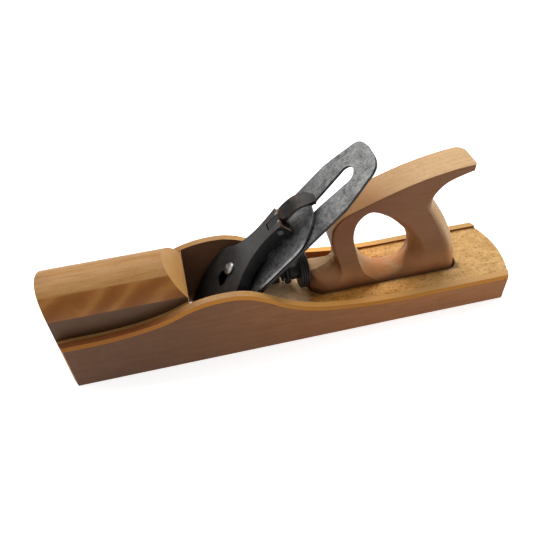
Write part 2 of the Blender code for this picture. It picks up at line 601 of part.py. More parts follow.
def make_front_screw():
    """Countersunk wood screw through the bar of the frog, under the iron."""
    face_t = -(IRON_THICK + FIT + 0.1)
    profile = [(FRONT_SCREW_END_T, 0.5), (FRONT_SCREW_END_T + 3.0, 1.5), (face_t - 2.9, 1.5),
               (face_t - 0.3, 4.3), (face_t - 0.15, 4.3)]
    screw = turned("frog_screw_3", profile, bed_point(FRONT_SCREW_S, 0.0), BED_T, 16)
    slot = prism("cut_front_slot", [rectangle(FRONT_SCREW_S - 0.4, FRONT_SCREW_S + 0.4, -6.0, 6.0)],
                 face_t - 1.0, face_t + 3.0, PLANE_BED)
    combine(screw, slot, "DIFFERENCE")
    return finish(screw, DARK_STEEL)


def make_yoke():
    """Fork lever: two prongs astride the wheel's groove, and a tongue up into the cap iron."""
    pivot_x, pivot_z = YOKE_PIVOT
    tip = bed_point(YOKE_TIP_S, 2.5)
    tip_low = bed_point(YOKE_TIP_S, -4.0)
    across = BED_S * 1.55
    groove_x = sum(GROOVE) / 2
    tongue = [(tip.x - across.x, tip.z - across.z), (tip.x + across.x, tip.z + across.z),
              (tip_low.x + across.x * 1.3, tip_low.z + across.z * 1.3), (pivot_x + 3.3, pivot_z + 1.5),
              (pivot_x + 3.3, pivot_z - 1.8), (groove_x + 1.6, WHEEL_Z + 10.0),
              (groove_x + 0.8, WHEEL_Z + 8.0),
              (groove_x - 0.8, WHEEL_Z + 8.0), (groove_x - 1.6, WHEEL_Z + 10.0),
              (pivot_x - 3.6, pivot_z - 0.6), (tip_low.x - across.x * 1.3, tip_low.z - across.z * 1.3)]
    eye = arc((pivot_x, pivot_z), 1.8, 0, 330, 11)
    lever = prism("yoke", [tongue, eye], -YOKE_HALF_WIDTH, YOKE_HALF_WIDTH, PLANE_SIDE)
    inner = GROOVE_RADIUS + 0.7
    outer = 8.8
    level = WHEEL_Z - 2.0
    lobe = (outer - inner) / 2
    fork = (arc((0.0, WHEEL_Z), outer, 180, 0, 12) + arc((outer - lobe, level), lobe, 0, -180, 6)
            + arc((0.0, WHEEL_Z), inner, 0, 180, 10) + arc((-outer + lobe, level), lobe, 0, -180, 6))
    prongs = prism("join_fork", [fork], groove_x - 0.8, groove_x + 0.8, PLANE_FRONT)
    combine(lever, prongs, "UNION")
    for low, high in ((6.9, 8.9), (-8.9, -6.9)):
        disc = prism("join_lobe", [arc((groove_x, level + 0.9), 2.6, 0, 330, 11)], low, high, PLANE_SIDE)
        combine(lever, disc, "UNION")
    return finish(lever, CAST_IRON, (pivot_x, 0.0, pivot_z))


def make_yoke_pin():
    profile = [(-FROG_HALF_WIDTH - 0.2, 1.5), (FROG_HALF_WIDTH + 0.2, 1.5)]
    return finish(turned("yoke_pin", profile, (YOKE_PIVOT[0], 0.0, YOKE_PIVOT[1]), (0, 1, 0), 12), DARK_STEEL)


def make_depth_stud():
    profile = [(0.0, 2.3), (0.8, STUD_RADIUS), (33.6, STUD_RADIUS), (34.4, 2.3)]
    return finish(turned("depth_stud", profile, (-20.3, 0.0, WHEEL_Z), (1, 0, 0), 20), DARK_STEEL)


def make_depth_wheel():
    """Ribbed adjusting wheel with a grooved hub for the fork, bored for the stud."""
    rim = WHEEL_RADIUS
    step = (WHEEL_BACK_X - WHEEL_FRONT_X) / 7
    profile = [(HUB_FRONT_X, 6.0), (HUB_FRONT_X + 0.3, 6.3), (GROOVE[0], 6.3), (GROOVE[0], GROOVE_RADIUS),
               (GROOVE[1], GROOVE_RADIUS), (GROOVE[1], 6.3), (WHEEL_FRONT_X, 6.3), (WHEEL_FRONT_X, rim - 0.5)]
    for index in range(7):
        radius = rim if index % 2 == 0 else rim - 1.1
        profile.append((WHEEL_FRONT_X + step * index + 0.25, radius))
        profile.append((WHEEL_FRONT_X + step * (index + 1) - 0.25, radius))
    profile += [(WHEEL_BACK_X, rim - 0.5), (WHEEL_BACK_X, 8.0), (WHEEL_BACK_X - 1.2, 7.0)]
    wheel = turned("depth_wheel", profile, (0.0, 0.0, WHEEL_Z), (1, 0, 0), 32)
    bore = turned("cut_wheel_bore", [(-10.0, 3.2), (30.0, 3.2)], (0.0, 0.0, WHEEL_Z), (1, 0, 0), 20)
    combine(wheel, bore, "DIFFERENCE")
    return finish(wheel, CAST_IRON)


# ---------------------------------------------------------------- assembly

for old in list(bpy.data.objects):
    bpy.data.objects.remove(old)

parts = make_collection("hand_plane")
cutters = make_collection("cutters")

WOOD = make_material("beech", (0.52, 0.30, 0.13), 0.5, 0.0)
STEEL = make_material("iron_steel", (0.24, 0.24, 0.24), 0.42, 1.0)
DARK_STEEL = make_material("dark_steel", (0.12, 0.12, 0.12), 0.45, 1.0)
BLACK_STEEL = make_material("blackened_steel", (0.05, 0.05, 0.05), 0.5, 0.8)
RUSTY_STEEL = make_material("lever_steel", (0.12, 0.11, 0.10), 0.5, 0.9)
BRIGHT_STEEL = make_material("bright_steel", (0.5, 0.49, 0.47), 0.3, 1.0)
CAST_IRON = make_material("cast_iron", (0.03, 0.03, 0.03), 0.6, 0.6)

make_body()
make_tote()
make_iron()
make_cap_iron()
make_cap_iron_screw()
make_lever_cap()
make_cam_lever()
make_cam_pin()
make_cap_spring()
make_lever_cap_screw()
make_frog()
for number, (screw_x, screw_y) in enumerate(FOOT_SCREWS, start=1):
    make_foot_screw(number, screw_x, screw_y)
make_front_screw()
make_yoke()
make_yoke_pin()
make_depth_stud()
make_depth_wheel()
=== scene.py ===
"""Looks of the wooden jack plane: refined pieces, worn materials, studio light and camera."""

import math

import bmesh
import bpy
from mathutils import Matrix, Vector


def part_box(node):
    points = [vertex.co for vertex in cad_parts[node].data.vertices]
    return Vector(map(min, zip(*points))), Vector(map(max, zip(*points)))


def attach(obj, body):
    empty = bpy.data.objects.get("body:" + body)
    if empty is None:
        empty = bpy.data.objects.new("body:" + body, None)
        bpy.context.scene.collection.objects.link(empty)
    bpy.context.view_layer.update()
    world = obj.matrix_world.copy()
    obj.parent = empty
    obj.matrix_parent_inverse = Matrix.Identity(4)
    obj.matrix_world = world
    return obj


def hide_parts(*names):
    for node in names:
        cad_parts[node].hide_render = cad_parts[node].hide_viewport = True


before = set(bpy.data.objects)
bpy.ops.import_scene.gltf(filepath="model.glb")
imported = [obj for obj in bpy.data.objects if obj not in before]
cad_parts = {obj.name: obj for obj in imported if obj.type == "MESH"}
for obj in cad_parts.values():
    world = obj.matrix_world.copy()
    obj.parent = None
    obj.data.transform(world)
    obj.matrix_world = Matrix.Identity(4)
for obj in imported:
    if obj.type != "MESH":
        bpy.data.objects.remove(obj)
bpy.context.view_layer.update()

MM = 0.001


def box_mm(node):
    """Low and high corner of a CAD node, in mm."""
    low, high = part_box(node)
    return [v / MM for v in low], [v / MM for v in high]


BODY_LOW, BODY_HIGH = box_mm("body")
TOTE_LOW, TOTE_HIGH = box_mm("tote")
IRON_LOW, IRON_HIGH = box_mm("iron")
WHEEL_LOW, WHEEL_HIGH = box_mm("depth_wheel")

# Stock, in millimetres
LENGTH = BODY_HIGH[0] - BODY_LOW[0]
WIDTH = BODY_HIGH[1] - BODY_LOW[1]
END_RISE = 8.9
RIM = 7.0
RIM_CHAMFER = 2.0
DECK_Z = 22.0
QUIRK_DEPTH = 2.0
BED_BLOCK_Z = 31.0
BED_BLOCK_BACK = [(-8.0, 31.0), (-3.0, 30.2, "smooth"), (1.5, 27.8, "smooth"), (4.5, 24.6, "smooth"),
                  (8.5, 22.5, "smooth"), (13.5, 22.0)]
NOSE_HALF_WIDTH = 23.7
NOSE_WALL_Z = 59.9
NOSE_TOP_Z = BODY_HIGH[2]
NOSE_BEVEL = math.radians(56.0)
NOSE_BEVEL_Z = 58.6
NOSE_LINE_END_Z = 57.2
CLEAR_Z = 110.0

# Bed and irons
BED_ANGLE = math.radians(46.0)
EDGE_X = -77.5
MOUTH_FRONT_X = -79.0
THROAT_FRONT_X = -77.8
MOUTH_DEPTH = 6.0
MOUTH_HALF = 26.0
FIT = 0.3
IRON_WIDTH = IRON_HIGH[1] - IRON_LOW[1]
IRON_THICK = 2.1
IRON_TIP_S = 193.5
CAP_IRON_ARCH_S = 110.0
CAP_IRON_APEX_S = 138.4
LEVER_CAP_TOP_S = 118.5
LEVER_CAP_THICK = 1.6
CAM_PIN = (113.8, 12.6)
CAM_PIN_BORE = 1.8
CAP_SCREW_S = 62.5
YOKE_TIP_S = 91.0
WHEEL_Z = (WHEEL_LOW[2] + WHEEL_HIGH[2]) / 2
WHEEL_RADIUS = (WHEEL_HIGH[2] - WHEEL_LOW[2]) / 2
TOTE_THICK = TOTE_HIGH[1] - TOTE_LOW[1]
TOTE_NOSE_ROUND = 11.5
TOTE_BACK_ROUND = 8.5
TOTE_PLAN_STEPS = 24
INNER = WIDTH / 2 - RIM

# Half width of a tool that passes through every piece but the stock
THROUGH = 30.0
# Points between two smooth knots, and how near two points are taken as one, in metres
CURVE_STEPS = 10
WELD = 1e-6

# Edges of tones, in metres
RIM_INSIDE = 0.0280
NOSE_BACK = -0.0790

# Top of the rims as (x, z), with the crest at the fifth knot
CHEEK_LINE = [(-168.9, 42.3), (-129.0, 43.5), (-98.0, 49.2), (-75.0, 58.1), (-55.0, 60.9),
              (-39.0, 58.9), (-23.5, 51.4), (-8.0, 40.9), (12.0, 32.5), (35.0, 27.9), (66.0, 24.4),
              (110.0, 24.0)]

PLANE_SIDE = Matrix(((1, 0, 0, 0), (0, 0, -1, 0), (0, 1, 0, 0), (0, 0, 0, 1)))
PLANE_FRONT = Matrix(((0, 0, 1, 0), (1, 0, 0, 0), (0, 1, 0, 0), (0, 0, 0, 1)))
PLANE_TOP = Matrix.Identity(4)
BED_S = Vector((math.cos(BED_ANGLE), 0.0, math.sin(BED_ANGLE)))
BED_T = Vector((-math.sin(BED_ANGLE), 0.0, math.cos(BED_ANGLE)))
BED_ORIGIN = Vector((EDGE_X, 0.0, 0.0))


def bed_point(s, t, y=0.0):
    """Point s up the bed from the cutting edge and t off the iron's face, in mm."""
    point = BED_ORIGIN + BED_S * s + BED_T * t
    return Vector((point.x, y, point.z))


def bed_matrix(second):
    """Plane with its first axis up the bed and its second along T (off the bed) or Y (across)."""
    axis_y = BED_T if second == "T" else Vector((0.0, 1.0, 0.0))
    axis_z = BED_S.cross(axis_y)
    columns = Matrix((BED_S, axis_y, axis_z)).transposed().to_4x4()
    columns.translation = BED_ORIGIN * MM
    return columns


PLANE_BED_SIDE = bed_matrix("T")
PLANE_BED = bed_matrix("Y")


# ---------------------------------------------------------------- mesh helpers

def add_loop(curve, knots):
    """One closed Bezier loop. A knot is (u, v) for a corner or (u, v, 'smooth')."""
    spline = curve.splines.new("BEZIER")
    spline.bezier_points.add(len(knots) - 1)
    for point, knot in zip(spline.bezier_points, knots):
        kind = "AUTO" if len(knot) == 3 else "VECTOR"
        point.co = (knot[0] * MM, knot[1] * MM, 0.0)
        point.handle_left_type = kind
        point.handle_right_type = kind
    spline.use_cyclic_u = True


def evaluated_mesh(source):
    graph = bpy.context.evaluated_depsgraph_get()
    return bpy.data.meshes.new_from_object(source.evaluated_get(graph))


def link_piece(name, mesh):
    piece = bpy.data.objects.new(name, mesh)
    bpy.context.scene.collection.objects.link(piece)
    return piece


def placed_piece(name, work, placing):
    """New piece from a bmesh, moved to its place, with its faces turned outwards."""
    bmesh.ops.transform(work, matrix=placing, verts=work.verts)
    bmesh.ops.recalc_face_normals(work, faces=work.faces)
    mesh = bpy.data.meshes.new(name)
    work.to_mesh(mesh)
    work.free()
    return link_piece(name, mesh)


def prism(name, loops, low, high, plane, bevel=0.0):
    """Solid between low and high along the plane's normal, from its outline and holes."""
    curve = bpy.data.curves.new(name, "CURVE")
    curve.dimensions = "2D"
    curve.fill_mode = "BOTH"
    curve.resolution_u = CURVE_STEPS
    curve.extrude = ((high - low) / 2 - bevel) * MM
    if bevel > 0:
        curve.bevel_depth = bevel * MM
        curve.bevel_resolution = 0
        curve.offset = -bevel * MM
    for knots in loops:
        add_loop(curve, knots)
    source = bpy.data.objects.new(name + "_curve", curve)
    bpy.context.scene.collection.objects.link(source)
    mesh = evaluated_mesh(source)
    bpy.data.objects.remove(source)
    work = bmesh.new()
    work.from_mesh(mesh)
    bmesh.ops.remove_doubles(work, verts=work.verts, dist=WELD)
    bpy.data.meshes.remove(mesh)
    return placed_piece(name, work, plane @ Matrix.Translation((0.0, 0.0, (low + high) / 2 * MM)))


def arc(centre, radius, start, end, steps):
    points = []
    for index in range(steps + 1):
        angle = math.radians(start + (end - start) * index / steps)
        points.append((centre[0] + radius * math.cos(angle), centre[1] + radius * math.sin(angle)))
    return points


def rectangle(u0, u1, v0, v1):
    return [(u0, v0), (u1, v0), (u1, v1), (u0, v1)]


def mirrored(knots):
    """The same knots on the other side of the middle line, in reverse order."""
    return [(knot[0], -knot[1], *knot[2:]) for knot in reversed(knots)]


def skin(work, rings):
    """Faces between neighbouring rings that have as many points."""
    for below, above in zip(rings, rings[1:]):
        for index in range(len(below)):
            after = (index + 1) % len(below)
            work.faces.new((below[index], below[after], above[after], above[index]))


def turned(name, profile, origin, axis, sides=48):
    """Turned piece: profile is (distance along the axis, radius), from one end to the other."""
    work = bmesh.new()
    rings = []
    for along, radius in profile:
        ring = []
        for index in range(sides):
            angle = 2 * math.pi * index / sides
            place = Vector((radius * math.cos(angle), radius * math.sin(angle), along)) * MM
            ring.append(work.verts.new(place))
        rings.append(ring)
    skin(work, rings)
    work.faces.new(list(reversed(rings[0])))
    work.faces.new(rings[-1])
    turn = Vector((0.0, 0.0, 1.0)).rotation_difference(Vector(axis)).to_matrix().to_4x4()
    return placed_piece(name, work, Matrix.Translation(Vector(origin) * MM) @ turn)


def combine(target, tool, operation):
    """Cut, join or intersect the target with a tool, and drop the tool."""
    modifier = target.modifiers.new("boolean", "BOOLEAN")
    modifier.operation = operation
    modifier.solver = "EXACT"
    modifier.object = tool
    mesh = evaluated_mesh(target)
    target.modifiers.clear()
    old = target.data
    target.data = mesh
    bpy.data.meshes.remove(old)
    bpy.data.objects.remove(tool)


def carve(target, outline, low, high, plane, operation="DIFFERENCE"):
    """Combine the target with a plain prism."""
    combine(target, prism("cut", [outline], low, high, plane), operation)


def close_gaps(piece):
    """Fill any face that a cut left open."""
    work = bmesh.new()
    work.from_mesh(piece.data)
    bmesh.ops.holes_fill(work, edges=[edge for edge in work.edges if edge.is_boundary], sides=0)
    bmesh.ops.recalc_face_normals(work, faces=work.faces)
    work.to_mesh(piece.data)
    work.free()


def soften(piece, width, segments=2, angle=32.0):
    """Small rounded edges, as wear and handling leave them; the width is in mm."""
    modifier = piece.modifiers.new("soft_edges", "BEVEL")
    modifier.width = width * MM
    modifier.segments = segments
    modifier.limit_method = "ANGLE"
    modifier.angle_limit = math.radians(angle)
    modifier.miter_outer = "MITER_ARC"


def dress(piece, material, body, nodes, soft=0.0, smooth=32.0, segments=2):
    """Material, shading, edge wear and the body that the piece rides on."""
    piece.data.materials.clear()
    piece.data.materials.append(material)
    piece.data.shade_smooth()
    piece.data.set_sharp_from_angle(angle=math.radians(smooth))
    if soft > 0:
        soften(piece, soft, segments)
    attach(piece, body)
    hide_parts(*nodes)


# ---------------------------------------------------------------- material helpers

class Shade:
    """Short names for building a node material.

    x, y, z are the place in metres in the row's frame; nx, ny, nz are the direction of the surface.
    """

    def __init__(self, name):
        self.material = bpy.data.materials.new(name)
        self.material.use_nodes = True
        self.tree = self.material.node_tree
        self.shader = self.tree.nodes["Principled BSDF"]
        self.place = self.tree.nodes.new("ShaderNodeTexCoord").outputs["Object"]
        normal = self.tree.nodes.new("ShaderNodeNewGeometry").outputs["Normal"]
        self.x, self.y, self.z = self.axes(self.place)
        self.nx, self.ny, self.nz = self.axes(normal)

    def feed(self, socket, value):
        if isinstance(value, bpy.types.NodeSocket):
            self.tree.links.new(value, socket)
        elif isinstance(value, tuple) and len(value) == 3 and socket.type == "RGBA":
            socket.default_value = (*value, 1.0)
        else:
            socket.default_value = value

    def stretch(self, scale, turn=(0.0, 0.0, 0.0)):
        node = self.tree.nodes.new("ShaderNodeMapping")
        self.feed(node.inputs["Vector"], self.place)
        node.inputs["Scale"].default_value = scale
        node.inputs["Rotation"].default_value = [math.radians(v) for v in turn]
        return node.outputs["Vector"]

    def noise(self, vector, scale, detail=4.0, rough=0.55, distortion=0.0):
        node = self.tree.nodes.new("ShaderNodeTexNoise")
        self.feed(node.inputs["Vector"], vector)
        node.inputs["Scale"].default_value = scale
        node.inputs["Detail"].default_value = detail
        node.inputs["Roughness"].default_value = rough
        node.inputs["Distortion"].default_value = distortion
        return node.outputs["Fac"]

    def cells(self, vector, scale):
        node = self.tree.nodes.new("ShaderNodeTexVoronoi")
        self.feed(node.inputs["Vector"], vector)
        node.inputs["Scale"].default_value = scale
        return node.outputs["Distance"]

    def bands(self, vector, scale, distortion, detail_scale=1.0, direction="Y"):
        node = self.tree.nodes.new("ShaderNodeTexWave")
        node.wave_type = "BANDS"
        node.bands_direction = direction
        self.feed(node.inputs["Vector"], vector)
        node.inputs["Scale"].default_value = scale
        node.inputs["Distortion"].default_value = distortion
        node.inputs["Detail"].default_value = 3.0
        node.inputs["Detail Scale"].default_value = detail_scale
        return node.outputs["Fac"]

    def step(self, value, low, high, out_low=0.0, out_high=1.0):
        node = self.tree.nodes.new("ShaderNodeMapRange")
        node.interpolation_type = "SMOOTHSTEP"
        self.feed(node.inputs["Value"], value)
        node.inputs["From Min"].default_value = low
        node.inputs["From Max"].default_value = high
        node.inputs["To Min"].default_value = out_low
        node.inputs["To Max"].default_value = out_high
        return node.outputs["Result"]

    def math(self, operation, first, second=0.0):
        node = self.tree.nodes.new("ShaderNodeMath")
        node.operation = operation
        self.feed(node.inputs[0], first)
        self.feed(node.inputs[1], second)
        return node.outputs[0]

    def absolute(self, value):
        return self.math("ABSOLUTE", value)

    def times(self, first, *others):
        for other in others:
            first = self.math("MULTIPLY", first, other)
        return first

    def mix(self, factor, first, second, blend="MIX"):
        """Mix of two colours, which a mix node takes at inputs 6 and 7 and gives at output 2."""
        node = self.tree.nodes.new("ShaderNodeMix")
        node.data_type = "RGBA"
        node.blend_type = blend
        self.feed(node.inputs[0], factor)
        self.feed(node.inputs[6], first)
        self.feed(node.inputs[7], second)
        return node.outputs[2]

    def ramp(self, value, stops):
        node = self.tree.nodes.new("ShaderNodeValToRGB")
        self.feed(node.inputs["Fac"], value)
        elements = node.color_ramp.elements
        while len(elements) < len(stops):
            elements.new(0.5)
        for element, (position, colour) in zip(elements, stops):
            element.position = position
            element.color = (*colour, 1.0)
        return node.outputs["Color"]

    def axes(self, vector):
        node = self.tree.nodes.new("ShaderNodeSeparateXYZ")
        self.feed(node.inputs[0], vector)
        return node.outputs

    def bump(self, height, strength, distance, below=None):
        node = self.tree.nodes.new("ShaderNodeBump")
        node.inputs["Strength"].default_value = strength
        node.inputs["Distance"].default_value = distance
        self.feed(node.inputs["Height"], height)
        if below is not None:
            self.feed(node.inputs["Normal"], below)
        return node.outputs["Normal"]

    def done(self, colour, roughness, normal=None, metallic=0.0, specular=0.5):
        self.feed(self.shader.inputs["Base Color"], colour)
        self.feed(self.shader.inputs["Roughness"], roughness)
        self.shader.inputs["Metallic"].default_value = metallic
        self.shader.inputs["Specular IOR Level"].default_value = specular
        if normal is not None:
            self.feed(self.shader.inputs["Normal"], normal)
        return self.material


def beech(name, light, mid, dark, turn, regions):
    """Aged beech: long fibres, soft bands, short ray flecks, and worn stains."""
    shade = Shade(name)
    along = shade.stretch((7.0, 60.0, 60.0), turn)
    fibre = shade.stretch((45.0, 1000.0, 1000.0), turn)
    cloud = shade.noise(shade.place, 26.0, 3.0, 0.6)
    streak = shade.noise(along, 1.0, 5.0, 0.6, 0.4)
    ring = shade.bands(shade.stretch((3.0, 34.0, 20.0), turn), 2.2, 3.5, 0.8)
    fine = shade.noise(fibre, 1.0, 3.0, 0.65)
    grit = shade.noise(shade.stretch((520.0, 1150.0, 1150.0), turn), 1.0, 3.0, 0.7)
    fleck = shade.cells(shade.stretch((240.0, 900.0, 900.0), turn), 1.0)
    colour = shade.mix(shade.step(streak, 0.3, 0.72, 0.2, 0.8), light, mid)
    colour = shade.mix(shade.times(shade.step(ring, 0.55, 1.0), 0.13), colour, dark)
    colour = shade.mix(shade.times(shade.step(cloud, 0.45, 0.75), 0.35), colour, mid)
    colour = shade.mix(shade.step(fine, 0.35, 0.75, 0.0, 0.28), colour, dark)
    colour = shade.mix(shade.step(grit, 0.45, 0.7, 0.0, 0.3), colour, dark)
    colour = shade.mix(shade.step(fleck, 0.0, 0.2, 0.3, 0.0), colour, dark)
    colour = regions(shade, colour)
    stain = shade.noise(shade.place, 95.0, 6.0, 0.7)
    rough = shade.step(stain, 0.3, 0.7, 0.42, 0.58)
    normal = shade.bump(fine, 0.22, 0.0003)
    normal = shade.bump(streak, 0.12, 0.0008, normal)
    return shade.done(colour, rough, normal, specular=0.22)


def side_tones(shade, colour):
    """Painted shade on the sides, heavier towards the toe; the ends are yellower, and all is streaked."""
    # painted shade: the sides are darkened, more towards the toe than the heel
    sides = shade.step(shade.absolute(shade.ny), 0.75, 0.97)
    side_shade_tone = shade.mix(shade.step(shade.x, -0.14, 0.12), (0.25, 0.170, 0.118), (0.64, 0.43, 0.245))
    colour = shade.mix(sides, colour, side_shade_tone, "MULTIPLY")
    streak = shade.noise(shade.stretch((30.0, 330.0, 330.0)), 1.0, 5.0, 0.7, 0.4)
    colour = shade.mix(shade.step(streak, 0.44, 0.62, 0.0, 0.45), colour, (0.80, 0.66, 0.46), "MULTIPLY")
    grime = shade.noise(shade.stretch((25.0, 60.0, 60.0)), 1.0, 5.0, 0.65)
    colour = shade.mix(shade.step(grime, 0.5, 0.75, 0.0, 0.3), colour, (0.10, 0.048, 0.02))
    ends = shade.step(shade.absolute(shade.nx), 0.7, 0.95)
    return shade.mix(ends, colour, (0.92, 0.82, 0.66), "MULTIPLY")


def rim_tones(shade, colour):
    """Tops of the rims are brown at the toe, and orange brightened with painted light at the heel."""
    off_middle = shade.absolute(shade.y)
    top = shade.times(shade.step(off_middle, 0.0275, 0.0285), shade.step(shade.nz, 0.7, 0.95))
    toe_end = shade.times(top, shade.step(shade.x, -0.060, -0.110))
    colour = shade.mix(toe_end, colour, (0.50, 0.29, 0.17), "MULTIPLY")
    # the wood's orange at the heel, brightened further with painted light
    heel_end = shade.times(top, shade.step(shade.x, -0.050, 0.0), 0.9)
    heel_orange_and_light = shade.mix(shade.step(shade.x, 0.050, 0.110), (1.0, 0.50, 0.12), (0.62, 0.35, 0.12))
    return shade.mix(heel_end, colour, heel_orange_and_light)


def deck_tones(shade, colour, mottle):
    """Deck behind the frog: mottled, specked, painted shade round the handle, painted light beside it."""
    off_middle = shade.absolute(shade.y)
    deck = shade.times(shade.step(shade.nz, 0.6, 0.9), shade.step(shade.z, 0.0222, 0.0240, 1.0, 0.0),
                       shade.step(shade.x, -0.02, -0.005))
    aged = shade.ramp(mottle, [(0.3, (0.40, 0.135, 0.020)), (0.46, (0.64, 0.27, 0.048)),
                               (0.6, (0.86, 0.46, 0.130)), (0.75, (0.64, 0.28, 0.050))])
    pale = shade.ramp(mottle, [(0.3, (0.42, 0.21, 0.06)), (0.46, (0.60, 0.34, 0.11)),
                               (0.6, (0.73, 0.45, 0.17)), (0.75, (0.60, 0.33, 0.105))])
    aged = shade.mix(shade.step(shade.x, 0.060, 0.125), aged, pale)
    specks = shade.noise(shade.stretch((420.0, 700.0, 420.0)), 1.0, 4.0, 0.7)
    aged = shade.mix(shade.step(specks, 0.55, 0.68, 0.0, 0.8), aged, (0.09, 0.045, 0.018))
    # painted shade on the deck round the handle's foot
    joint_shade = shade.times(shade.step(shade.x, 0.009, 0.015), shade.step(shade.x, 0.1390, 0.1375),
                        shade.step(off_middle, 0.0155, 0.0128), 0.65)
    aged = shade.mix(joint_shade, aged, (0.06, 0.028, 0.012))
    colour = shade.mix(deck, colour, aged)
    # painted light: the deck beside the handle's foot is brightened
    lit_strip = shade.times(shade.step(shade.y, -0.0130, -0.0200), shade.step(shade.x, 0.110, 0.060), deck,
                        shade.step(specks, 0.60, 0.45), 0.6)
    return shade.mix(lit_strip, colour, (1.0, 0.50, 0.11))


def nose_tones(shade, colour):
    """Nose block has an orange flank, walls darkened with painted shade, and a light bevel at its end."""
    off_middle = shade.absolute(shade.y)
    front = shade.step(shade.x, NOSE_BACK, NOSE_BACK - 0.0005)
    above = shade.step(shade.z, 0.0590, 0.0603)
    flank = shade.times(shade.step(off_middle, 0.0135, 0.0150), front, above,
                        shade.step(shade.absolute(shade.nx), 0.5, 0.3), 0.95)
    figure = shade.bands(shade.stretch((22.0, 5.0, -30.0)), 1.0, 5.0, 1.4, "DIAGONAL")
    warm = shade.ramp(figure, [(0.0, (0.24, 0.080, 0.014)), (0.6, (0.29, 0.102, 0.020)),
                               (1.0, (0.37, 0.148, 0.034))])
    colour = shade.mix(flank, colour, warm)
    # painted shade on the upright walls of the nose block
    shaded_wall = shade.times(shade.step(shade.absolute(shade.ny), 0.75, 0.97), front,
                       shade.step(shade.z, 0.040, 0.044), shade.step(off_middle, 0.0300, 0.0290),
                       shade.step(shade.z, 0.0604, 0.0597), 0.85)
    colour = shade.mix(shaded_wall, colour, (0.10, 0.050, 0.025))
    bevel = shade.times(front, above, shade.step(shade.nx, 0.3, 0.5), 0.7)
    return shade.mix(bevel, colour, (0.66, 0.34, 0.10))


def throat_tones(shade, colour, mottle):
    """Wood behind the frog is brightened with painted light, and the throat's walls get painted shade."""
    between_rims = shade.step(shade.absolute(shade.y), RIM_INSIDE + 0.0004, RIM_INSIDE)
    # painted light: the wood behind the frog is brightened
    lit_mound = shade.times(shade.step(shade.x, -0.045, -0.040), shade.step(shade.x, 0.016, 0.008),
                        shade.step(shade.nz, 0.3, 0.5), between_rims, 0.95)
    lit_mound_tone = shade.ramp(mottle, [(0.35, (0.75, 0.42, 0.20)), (0.5, (1.0, 0.70, 0.40)),
                                     (0.7, (0.95, 0.60, 0.31))])
    colour = shade.mix(lit_mound, colour, lit_mound_tone)
    # painted shade on the upright walls of the throat between the rims
    upright = shade.math("SUBTRACT", 1.0, shade.step(shade.nz, 0.2, 0.6))
    shaded_wall = shade.times(between_rims, shade.step(shade.x, NOSE_BACK - 0.0005, NOSE_BACK + 0.0010),
                       shade.step(shade.x, 0.075, 0.0, 0.0, 1.0), upright, 0.85)
    return shade.mix(shaded_wall, colour, (0.27, 0.145, 0.082))


def chamfer_tones(shade, colour):
    """Chamfers outside the rims are bright orange, darker at the toe."""
    sideways = shade.absolute(shade.ny)
    chamfer = shade.times(shade.step(sideways, 0.35, 0.55), shade.step(sideways, 0.9, 0.8),
                          shade.step(shade.absolute(shade.y), 0.0325, 0.0335), 0.85)
    orange = shade.mix(shade.step(shade.x, -0.130, -0.030), (0.38, 0.128, 0.018), (0.60, 0.235, 0.034))
    return shade.mix(chamfer, colour, orange)


def body_regions(shade, colour):
    """Tones of the different faces of the stock; each one is laid over those before it."""
    mottle = shade.noise(shade.stretch((90.0, 170.0, 90.0)), 1.0, 6.0, 0.78, 0.3)
    colour = side_tones(shade, colour)
    colour = rim_tones(shade, colour)
    colour = deck_tones(shade, colour, mottle)
    colour = nose_tones(shade, colour)
    colour = throat_tones(shade, colour, mottle)
    return chamfer_tones(shade, colour)


def tote_regions(shade, colour):
    """Painted shade on the handle's sides and where it meets the deck; its foot is worn orange."""
    # painted shade on the handle's sides, heavier on faces turned down and towards the toe
    facing = shade.math("SUBTRACT", shade.absolute(shade.ny), shade.times(shade.nx, 0.5))
    facing = shade.math("SUBTRACT", facing, shade.times(shade.nz, 0.55))
    side = shade.step(facing, 0.25, 0.70)
    front = shade.times(shade.step(shade.x, 0.095, 0.045), shade.step(shade.z, 0.050, 0.080), 0.75)
    colour = shade.mix(front, colour, (0.46, 0.205, 0.068))
    colour = shade.mix(side, colour, (0.295, 0.186, 0.116), "MULTIPLY")
    foot = shade.step(shade.z, 0.050, 0.030)
    stain = shade.noise(shade.stretch((90.0, 90.0, 90.0)), 1.0, 5.0, 0.7)
    nose = shade.times(shade.step(shade.x, 0.060, 0.035), 0.75)
    flank = shade.times(foot, side, shade.math("MAXIMUM", nose, 0.3))
    colour = shade.mix(flank, colour, (0.56, 0.275, 0.125))
    worn = shade.times(foot, shade.step(stain, 0.34, 0.54), shade.step(side, 0.8, 0.2, 0.2, 0.85))
    colour = shade.mix(worn, colour, (0.60, 0.235, 0.08))
    spots = shade.noise(shade.stretch((160.0, 160.0, 160.0)), 1.0, 2.0, 0.5)
    spots = shade.times(shade.step(spots, 0.66, 0.72), foot, 0.5)
    colour = shade.mix(spots, colour, (0.16, 0.09, 0.07))
    # painted shade low on the handle, where it meets the deck
    joint_shade = shade.times(shade.step(shade.z, 0.0275, 0.0222), 0.6)
    return shade.mix(joint_shade, colour, (0.07, 0.032, 0.015))


